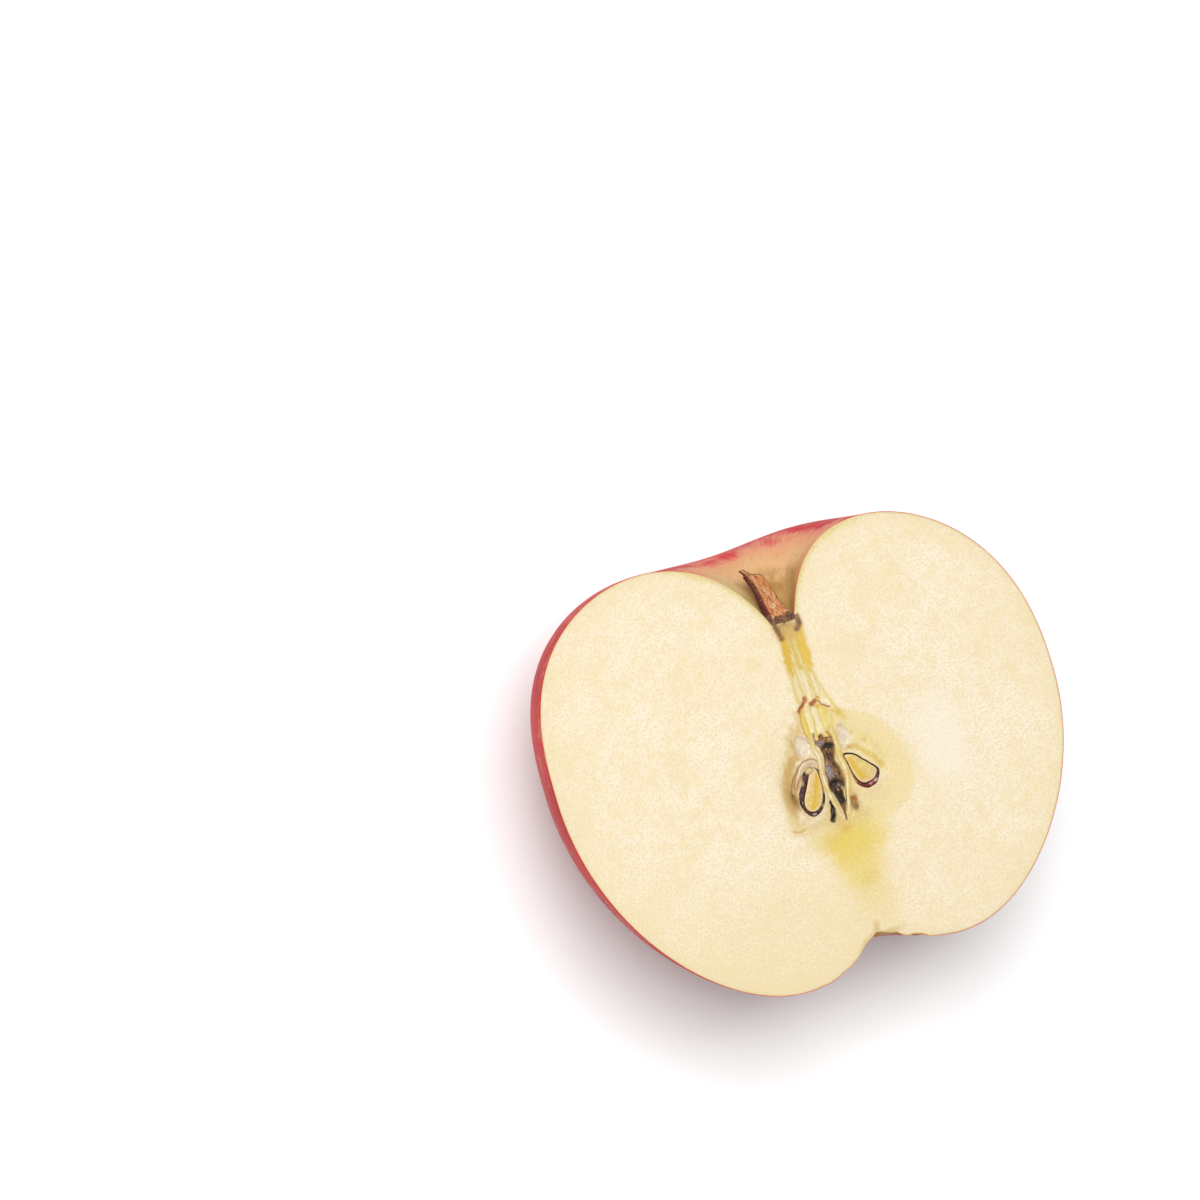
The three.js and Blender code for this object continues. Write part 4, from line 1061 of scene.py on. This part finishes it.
for side, outline, streak_line, pale_line in (
        ("left", LEFT_KERNEL, [(-2.02, 2.09), (-2.63, 0.36), (-3.35, -1.34), (-4.1, -2.46)],
         [(-2.4, 3.0), (-3.6, 1.5), (-4.6, -0.2)]),
        ("right", RIGHT_KERNEL, [(3.9, 2.9), (4.24, 2.14), (4.83, 0.34), (5.39, -0.65)],
         [(7.4, 0.2), (7.0, -0.7), (6.2, -1.0), (5.3, -1.05)])):
    under = bowl_rings(outline, KERNEL_DEPTH, KERNEL_LIP)
    top = []
    for share in KERNEL_SHARES:
        ring = loop_points(outline, share)
        fall = KERNEL_RIM_DROP - KERNEL_CROWN * (1 - share ** 5) + 0.03 * lumps(*ring.T, 0.9, 61)
        far = near_line(*ring.T, streak_line)[0]
        top.append(np.column_stack((ring, -(fall + STREAK_DIP * np.exp(-(far / 0.25) ** 2)))))
    points, faces = close_rings(under[:-1] + top, under[0].mean(0), top[-1].mean(0))
    points[:, 2] -= tucked(points[:, 0], points[:, 1])
    far = near_line(points[:, 0], points[:, 1], streak_line)[0]
    far_pale = near_line(points[:, 0], points[:, 1], pale_line)[0]
    kernel = body_of_points(f"seed_kernel_{side}_meat", points, [face[::-1] for face in faces], {
        "rind": share_of(points[:, 0], points[:, 1], outline), "streak": np.exp(-(far / 0.5) ** 2),
        "pale": np.exp(-(far_pale / 0.35) ** 2)})
    kernel.data.materials.append(seed_meat.material)
    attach(kernel, "root")
    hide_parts(f"seed_kernel_{side}")

# ---------------------------------------------------------------------------------------------
# Cell walls. Thin, shiny, parchment-like linings of the seed cells, left in tatters over the
# seeds' tips and in the open core. They are grown into the flesh and hug its hollows.
WALL_THICKNESS, WALL_LIFT, WALL_DEEPEST = 0.07, 0.05, 0.9
WALL_SHARES = (1.0, 0.93, 0.84, 0.72, 0.6, 0.48, 0.36, 0.22, 0.08)
EDGE_TATTER, EDGE_TURN_DOWN, WALL_TOP = 0.08, 0.16, 0.04


def wall_finish(name, pale, tan, edge):
    """The look of a cell wall: pale and tan patches, and the colour of its torn edge."""
    made = Finish(name, Roughness=0.42, Coat_Weight=0.15, Coat_Roughness=0.2, Subsurface_Weight=0.1,
                  Subsurface_Scale=0.0006)
    look = made.blend(made.ramp(made.noise(1.1, 4.0, 1.0), 0.35, 0.7), paint(*pale), paint(*tan))
    look = made.lay(look, edge, made.mask("torn"), 0.68, 1.0)
    made.put(made.shader.inputs["Base Color"], look)
    made.put(made.shader.inputs["Normal"], made.bump(made.noise(1.2, 3.0, 0.8), 0.12))
    return made.material


fresh_wall = wall_finish("cell wall", (240, 220, 194), (228, 202, 166), (231, 206, 164))
grey_wall = wall_finish("grey cell wall", (172, 158, 158), (146, 126, 116), (128, 88, 50))
tan_wall = wall_finish("tan cell wall", (228, 202, 148), (208, 172, 112), (156, 114, 66))
hood_wall = wall_finish("curled cell wall", (228, 206, 176), (214, 184, 144), (208, 170, 102))
SCRAPS = [
    ("cell_wall_left", fresh_wall, LEFT_WINDOW), ("cell_wall_right", fresh_wall, RIGHT_WINDOW),
    ("cell_wall_core_top", grey_wall,
     [(-0.45, 6.9), (-0.3, 6.4), (0.2, 6.2), (0.8, 6.5), (0.8, 6.9), (0.3, 7.1)]),
    ("cell_wall_core_middle", grey_wall,
     [(-0.2, 3.0), (-0.35, 1.8), (-0.2, 0.9), (0.2, 0.6), (0.65, 1.3), (0.75, 2.4), (0.4, 3.3)]),
    ("cell_wall_core_low", tan_wall,
     [(1.5, -0.9), (1.3, -2.0), (1.35, -3.0), (1.6, -2.0), (1.8, -1.0), (1.7, -0.4)]),
    ("cell_wall_seed_tip", tan_wall,
     [(-3.8, 3.1), (-3.55, 3.6), (-2.9, 3.75), (-2.35, 3.4), (-2.5, 2.85), (-3.2, 2.6)], 0.08),
]


def scrap(name, look, outline, level=None):
    """A thin, wrinkled, closed leaf with its torn edge turned down, in a hollow or at a level."""
    top, under = [], []
    for share in WALL_SHARES:
        ring = loop_points(outline, share)
        tatter = 1 + EDGE_TATTER * lumps(*ring.T, 0.6, 71) * share
        ring = ring.mean(0) + (ring - ring.mean(0)) * tatter[:, None]
        fall = np.minimum(sink(*ring.T), WALL_DEEPEST) - WALL_LIFT if level is None else level
        fall = fall + 0.06 * lumps(*ring.T, 0.9, 73) + EDGE_TURN_DOWN * step_up(share, 0.75, 1)
        fall = np.maximum(fall, WALL_TOP)
        top.append(np.column_stack((ring, -fall)))
        under.append(np.column_stack((ring, -fall - WALL_THICKNESS)))
    points, faces = close_rings(under[::-1] + top, under[-1].mean(0), top[-1].mean(0))
    torn = share_of(points[:, 0], points[:, 1], outline)
    leaf = body_of_points(name, points, [face[::-1] for face in faces], {"torn": torn})
    leaf.data.materials.append(look)
    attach(leaf, "root")


for scrap_settings in SCRAPS:
    scrap(*scrap_settings)

# The hood over the left seed's tip is a curled band of the same lining.
HOOD_STEPS, HOOD_SIDES, HOOD_SMOOTHINGS = 80, 22, 4
HOOD_WIDTHS = [0.10, 0.20, 0.30, 0.44, 0.56, 0.58, 0.56, 0.50, 0.25]
HOOD_RISE, HOOD_DROP, HOOD_TOP = 0.16, 0.24, 0.04
hood_line = np.array(HOOD_LINE)
spans = np.concatenate(([0], np.cumsum(np.hypot(*np.diff(hood_line, axis=0).T))))
walk = np.linspace(0, spans[-1], HOOD_STEPS)
hood_x, hood_y, hood_wide = (np.interp(walk, spans, row) for row in (*hood_line.T, HOOD_WIDTHS))
for _ in range(HOOD_SMOOTHINGS):
    for row in (hood_x, hood_y):
        row[1:-1] = (row[:-2] + row[1:-1] * 2 + row[2:]) / 4
step_x, step_y = np.gradient(hood_x), np.gradient(hood_y)
step_length = np.hypot(step_x, step_y)
hood_wide = hood_wide * (1 + 0.25 * lumps(walk, 0, 0.9, 77))
band_turn = np.linspace(0, 2 * math.pi, HOOD_SIDES, endpoint=False)
lift = HOOD_RISE * np.sin(band_turn) * (1 + 0.4 * np.cos(band_turn))
hood_rings = []
for k in range(HOOD_STEPS):
    out = hood_wide[k] * np.cos(band_turn)
    ring = np.column_stack((hood_x[k] - step_y[k] / step_length[k] * out,
                            hood_y[k] + step_x[k] / step_length[k] * out,
                            np.minimum(lift - HOOD_DROP, -HOOD_TOP)))
    ring[:, 2] -= 0.05 * (1 + lumps(ring[:, 0], ring[:, 1], 0.7, 75))
    hood_rings.append(ring)
points, faces = close_rings(hood_rings, hood_rings[0].mean(0), hood_rings[-1].mean(0))
hood_foot = 0.9 * step_up(-points[:, 1], -3.4, -1.2)
hood_foot = hood_foot + 0.5 * blot(points[:, 0], points[:, 1], (-3.0, 3.9), (1.2, 0.45))
hood = body_of_points("cell_wall_hood", points, [face[::-1] for face in faces],
                      {"torn": 0.72 + 0.28 * np.clip(hood_foot, 0, 1)})
hood.data.materials.append(hood_wall)
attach(hood, "root")

# ---------------------------------------------------------------------------------------------
# Core strands. Pale yellow threads run from the stem's foot down the core and spread round the
# seed cells. Each is a round strand that lies half sunk in the flesh.
POINTS_PER_CORNER, STRAND_SMOOTHINGS = 10, 12
STRAND_SIDES, STRAND_TOP, STRAND_SUNK = 10, 0.02, 0.45
STRANDS = [  # threads by their corners, with their radius
    (LEFT_RIB, 0.34), (RIGHT_RIB, 0.50),
    ([(0.1, 12.4), (0.15, 10.2), (-0.1, 8.4)], 0.08), ([(2.9, 11.2), (3.1, 10.2), (2.6, 9.0)], 0.12),
    ([(-0.9, 19.5), (-0.8, 18.0), (-0.7, 15.5), (-0.8, 14.0)], 0.10),
    ([(-0.2, 23.8), (-0.15, 22.5), (0.1, 18.5), (0.2, 15.5), (0.1, 13.9)], 0.10),
    ([(0.7, 23.4), (0.8, 21.0), (0.9, 18.5), (1.1, 15.5), (1.0, 13.8)], 0.14),
    ([(1.9, 18.5), (2.1, 17.0), (2.4, 15.0), (2.3, 13.6)], 0.10),
]
strand_curve = bpy.data.curves.new("strand lines", "CURVE")
strand_curve.dimensions = "3D"
for corners, widest in STRANDS:
    corners = np.array(corners)
    at = np.linspace(0, len(corners) - 1, POINTS_PER_CORNER * len(corners))
    strand_x, strand_y = (np.interp(at, np.arange(len(corners)), corners[:, k]) for k in (0, 1))
    for _ in range(STRAND_SMOOTHINGS):
        for row in (strand_x, strand_y):
            row[1:-1] = (row[:-2] + row[1:-1] + row[2:]) / 3
    strand_x = strand_x + 0.05 * lumps(strand_y, strand_x, 1.5, 81)
    taper = np.minimum(1, 0.35 + 3.5 * np.minimum(at, at[-1] - at) / at[-1])
    strand_radius = widest * taper * (1 + 0.15 * lumps(strand_y, strand_x * 3, 0.8, 83))
    strand_z = np.minimum(-strand_radius - STRAND_TOP,
                          -sink(strand_x, strand_y) - STRAND_SUNK * strand_radius)
    spline = strand_curve.splines.new("POLY")
    spline.points.add(len(at) - 1)
    strand_line = to_frame(np.stack((strand_x, strand_y, strand_z), -1))
    for point, place, radius in zip(spline.points, strand_line, strand_radius):
        point.co = (*place, 1)
        point.radius = radius
strand_holder = bpy.data.objects.new("strand lines", strand_curve)
bpy.context.scene.collection.objects.link(strand_holder)

strand_flesh = Finish("core strand", Roughness=0.4, IOR=1.4, Subsurface_Weight=0.3,
                      Subsurface_Scale=0.0008)
colour = strand_flesh.blend(strand_flesh.ramp(strand_flesh.noise(0.8, 4.0, 0.5), 0.35, 0.65),
                            paint(248, 229, 184), paint(237, 206, 126))
strand_flesh.put(strand_flesh.shader.inputs["Base Color"], colour)
strand_flesh.put(strand_flesh.shader.inputs["Normal"],
                 strand_flesh.bump(strand_flesh.noise(2.4, 3.0), 0.08))


def node_group(name, inputs):
    """A group of geometry nodes with named inputs, and the identifiers of their sockets."""
    group = bpy.data.node_groups.new(name, "GeometryNodeTree")
    sockets = {}
    for label, kind in inputs:
        socket = group.interface.new_socket(label, in_out="INPUT", socket_type="NodeSocket" + kind)
        sockets[label] = socket.identifier
    group.interface.new_socket("Geometry", in_out="OUTPUT", socket_type="NodeSocketGeometry")
    return group, sockets, group.nodes.new("NodeGroupInput"), group.nodes.new("NodeGroupOutput")


def link_all(group, pairs):
    """Links pairs of sockets in a node group, each pair an output and an input."""
    for out_socket, in_socket in pairs:
        group.links.new(out_socket, in_socket)


def grown(name, holder, group, sockets, values):
    """The piece that a node group makes of an object, as a plain mesh. The object is used up."""
    modifier = holder.modifiers.new(name, "NODES")
    modifier.node_group = group
    for label, value in values.items():
        modifier[sockets[label]] = value
    bpy.context.view_layer.update()
    mesh = bpy.data.meshes.new_from_object(holder.evaluated_get(bpy.context.evaluated_depsgraph_get()))
    bpy.data.objects.remove(holder)
    mesh.shade_smooth()
    piece = bpy.data.objects.new(name, mesh)
    bpy.context.scene.collection.objects.link(piece)
    return piece


threads, thread_sockets, enter, leave = node_group("threads", (
    ("Geometry", "Geometry"), ("Thickness unit", "Float"), ("Sides", "Int"), ("Finish", "Material")))
section = threads.nodes.new("GeometryNodeCurvePrimitiveCircle")
sweep = threads.nodes.new("GeometryNodeCurveToMesh")
own_radius = threads.nodes.new("GeometryNodeInputRadius")
realize = threads.nodes.new("GeometryNodeRealizeInstances")
give_finish = threads.nodes.new("GeometryNodeSetMaterial")
sweep.inputs["Fill Caps"].default_value = True
link_all(threads, (
    (enter.outputs["Geometry"], sweep.inputs["Curve"]),
    (enter.outputs["Sides"], section.inputs["Resolution"]),
    (enter.outputs["Thickness unit"], section.inputs["Radius"]),
    (section.outputs["Curve"], sweep.inputs["Profile Curve"]),
    (own_radius.outputs["Radius"], sweep.inputs["Scale"]),
    (sweep.outputs["Mesh"], realize.inputs["Geometry"]),
    (realize.outputs["Geometry"], give_finish.inputs["Geometry"]),
    (enter.outputs["Finish"], give_finish.inputs["Material"]),
    (give_finish.outputs["Geometry"], leave.inputs["Geometry"])))
strands = grown("core_strands", strand_holder, threads, thread_sockets,
                {"Thickness unit": MM, "Sides": STRAND_SIDES, "Finish": strand_flesh.material})
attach(strands, "root")

# ---------------------------------------------------------------------------------------------
# Core crumbs. Dry, rusty granules of dead tissue along the cracks, at the foot of the stem and
# beside the left seed. They are stuck to the flesh.
CRUMB_SITES = [  # middle, reach and number
    *[(point, 0.22, 9) for crack, _ in CRACKS[:2] for point in crack], ((-1.85, 12.4), 0.25, 8),
    ((-0.36, 13.9), 0.3, 10), ((0.95, 13.05), 0.35, 14), ((1.7, 13.5), 0.25, 6),
    *[(point, 0.12, 3) for point in CRACKS[2][0]], ((2.3, 25.7), 0.35, 12), ((-1.5, 25.0), 0.30, 10),
    ((-6.75, -0.1), 0.6, 14), ((-6.3, -3.0), 0.5, 8), ((2.95, -3.1), 0.3, 8), ((0.47, 7.5), 0.3, 8),
    ((1.2, 5.0), 0.5, 12), ((1.5, 1.5), 0.5, 16), ((1.4, -1.0), 0.4, 14), ((-7.6, -5.1), 0.35, 6),
]
CRUMB_SEED, CRUMB_RADIUS, CRUMB_DEPTH = 5, 0.095, 0.16
CRUMB_SCALES = ((0.5, 0.5, 0.35), (1.6, 1.1, 0.8))
CRUMB_TURNS = ((0, 0, 0), (0.5, 0.5, 6.28))
site_points, site_faces = [], []
for (mid_x, mid_y), reach, _ in CRUMB_SITES:
    square = np.array([(-1, -1), (1, -1), (1, 1), (-1, 1)]) * reach + (mid_x, mid_y)
    first = len(site_points)
    depth = max(sink(mid_x, mid_y), CRUMB_DEPTH)
    site_points += np.column_stack((square, np.full(4, -depth))).tolist()
    site_faces.append(tuple(range(first, first + 4)))
site_mesh = bpy.data.meshes.new("crumb sites")
site_mesh.from_pydata(to_frame(site_points).tolist(), [], site_faces)
crowd = site_mesh.attributes.new("crowd", "FLOAT", "FACE")
crowd.data.foreach_set("value", [many / (2 * reach * MM) ** 2 for _, reach, many in CRUMB_SITES])
site_holder = bpy.data.objects.new("crumb sites", site_mesh)
bpy.context.scene.collection.objects.link(site_holder)

rusty = Finish("rusty crumb", Roughness=0.6, Specular_IOR_Level=0.3)
rust_marks = rusty.noise(1.6, 3.0)
colour = rusty.blend(rusty.ramp(rust_marks, 0.35, 0.5), paint(112, 56, 36), paint(190, 116, 60))
colour = rusty.lay(colour, (222, 182, 112), rust_marks, 0.52, 0.62)
rusty.put(rusty.shader.inputs["Base Color"], colour)

crumbs, crumb_sockets, enter, leave = node_group("crumbs", (
    ("Geometry", "Geometry"), ("Seed", "Int"), ("Radius", "Float"), ("Finish", "Material")))
scatter = crumbs.nodes.new("GeometryNodeDistributePointsOnFaces")
crowding = crumbs.nodes.new("GeometryNodeInputNamedAttribute")
crowding.inputs["Name"].default_value = "crowd"
grain_ball = crumbs.nodes.new("GeometryNodeMeshIcoSphere")
grain_ball.inputs["Subdivisions"].default_value = 2
place_balls = crumbs.nodes.new("GeometryNodeInstanceOnPoints")
own_scale, own_turn = (crumbs.nodes.new("FunctionNodeRandomValue") for _ in range(2))
as_rotation = crumbs.nodes.new("FunctionNodeEulerToRotation")
for node, (low, high) in ((own_scale, CRUMB_SCALES), (own_turn, CRUMB_TURNS)):
    node.data_type = "FLOAT_VECTOR"
    node.inputs["Min"].default_value = low
    node.inputs["Max"].default_value = high
realize = crumbs.nodes.new("GeometryNodeRealizeInstances")
give_finish = crumbs.nodes.new("GeometryNodeSetMaterial")
link_all(crumbs, (
    (enter.outputs["Geometry"], scatter.inputs["Mesh"]),
    (crowding.outputs["Attribute"], scatter.inputs["Density"]),
    (enter.outputs["Seed"], scatter.inputs["Seed"]),
    (enter.outputs["Radius"], grain_ball.inputs["Radius"]),
    (scatter.outputs["Points"], place_balls.inputs["Points"]),
    (grain_ball.outputs["Mesh"], place_balls.inputs["Instance"]),
    (own_scale.outputs["Value"], place_balls.inputs["Scale"]),
    (own_turn.outputs["Value"], as_rotation.inputs["Euler"]),
    (as_rotation.outputs["Rotation"], place_balls.inputs["Rotation"]),
    (place_balls.outputs["Instances"], realize.inputs["Geometry"]),
    (realize.outputs["Geometry"], give_finish.inputs["Geometry"]),
    (enter.outputs["Finish"], give_finish.inputs["Material"]),
    (give_finish.outputs["Geometry"], leave.inputs["Geometry"])))
crumb_piece = grown("core_crumbs", site_holder, crumbs, crumb_sockets,
                    {"Seed": CRUMB_SEED, "Radius": CRUMB_RADIUS * MM, "Finish": rusty.material})
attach(crumb_piece, "root")

# ---------------------------------------------------------------------------------------------
# Floor and light. A white table top and a bright, even studio, with one large soft lamp above
# the upper right, so that the shadow falls towards the lower left.
FLOOR_HALF = 3.0
BOARD_WHITES = (0.868, 0.88, 0.88, 1), (0.888, 0.90, 0.90, 1)
STUDIO_STRENGTH = 0.31
KEY_PLACE, KEY_AIM = Vector((-0.32, 0.48, 1.56)), Vector((0, 0, 0.03))
KEY_SIZE, KEY_POWER = 0.90, 31.9
corner = [(-FLOOR_HALF, -FLOOR_HALF, 0), (FLOOR_HALF, -FLOOR_HALF, 0), (FLOOR_HALF, FLOOR_HALF, 0),
          (-FLOOR_HALF, FLOOR_HALF, 0)]
table_top = bpy.data.meshes.new("table top")
table_top.from_pydata(corner, [], [(0, 1, 2, 3)])
floor = bpy.data.objects.new("floor", table_top)
bpy.context.scene.collection.objects.link(floor)
white_board = Finish("white board", Roughness=0.8, Specular_IOR_Level=0.1)
white_board.put(white_board.shader.inputs["Base Color"],
                white_board.blend(white_board.noise(0.002, 2.0), *BOARD_WHITES))
table_top.materials.append(white_board.material)

world = bpy.data.worlds.new("studio")
bpy.context.scene.world = world
world.use_nodes = True
world.node_tree.nodes["Background"].inputs["Color"].default_value = (1, 1, 1, 1)
world.node_tree.nodes["Background"].inputs["Strength"].default_value = STUDIO_STRENGTH
lamp = bpy.data.lights.new("key", "AREA")
lamp.size = KEY_SIZE
lamp.energy = KEY_POWER
holder = bpy.data.objects.new("key", lamp)
holder.location = KEY_PLACE
holder.rotation_mode = "QUATERNION"
holder.rotation_quaternion = (KEY_PLACE - KEY_AIM).to_track_quat("Z", "Y")
bpy.context.scene.collection.objects.link(holder)
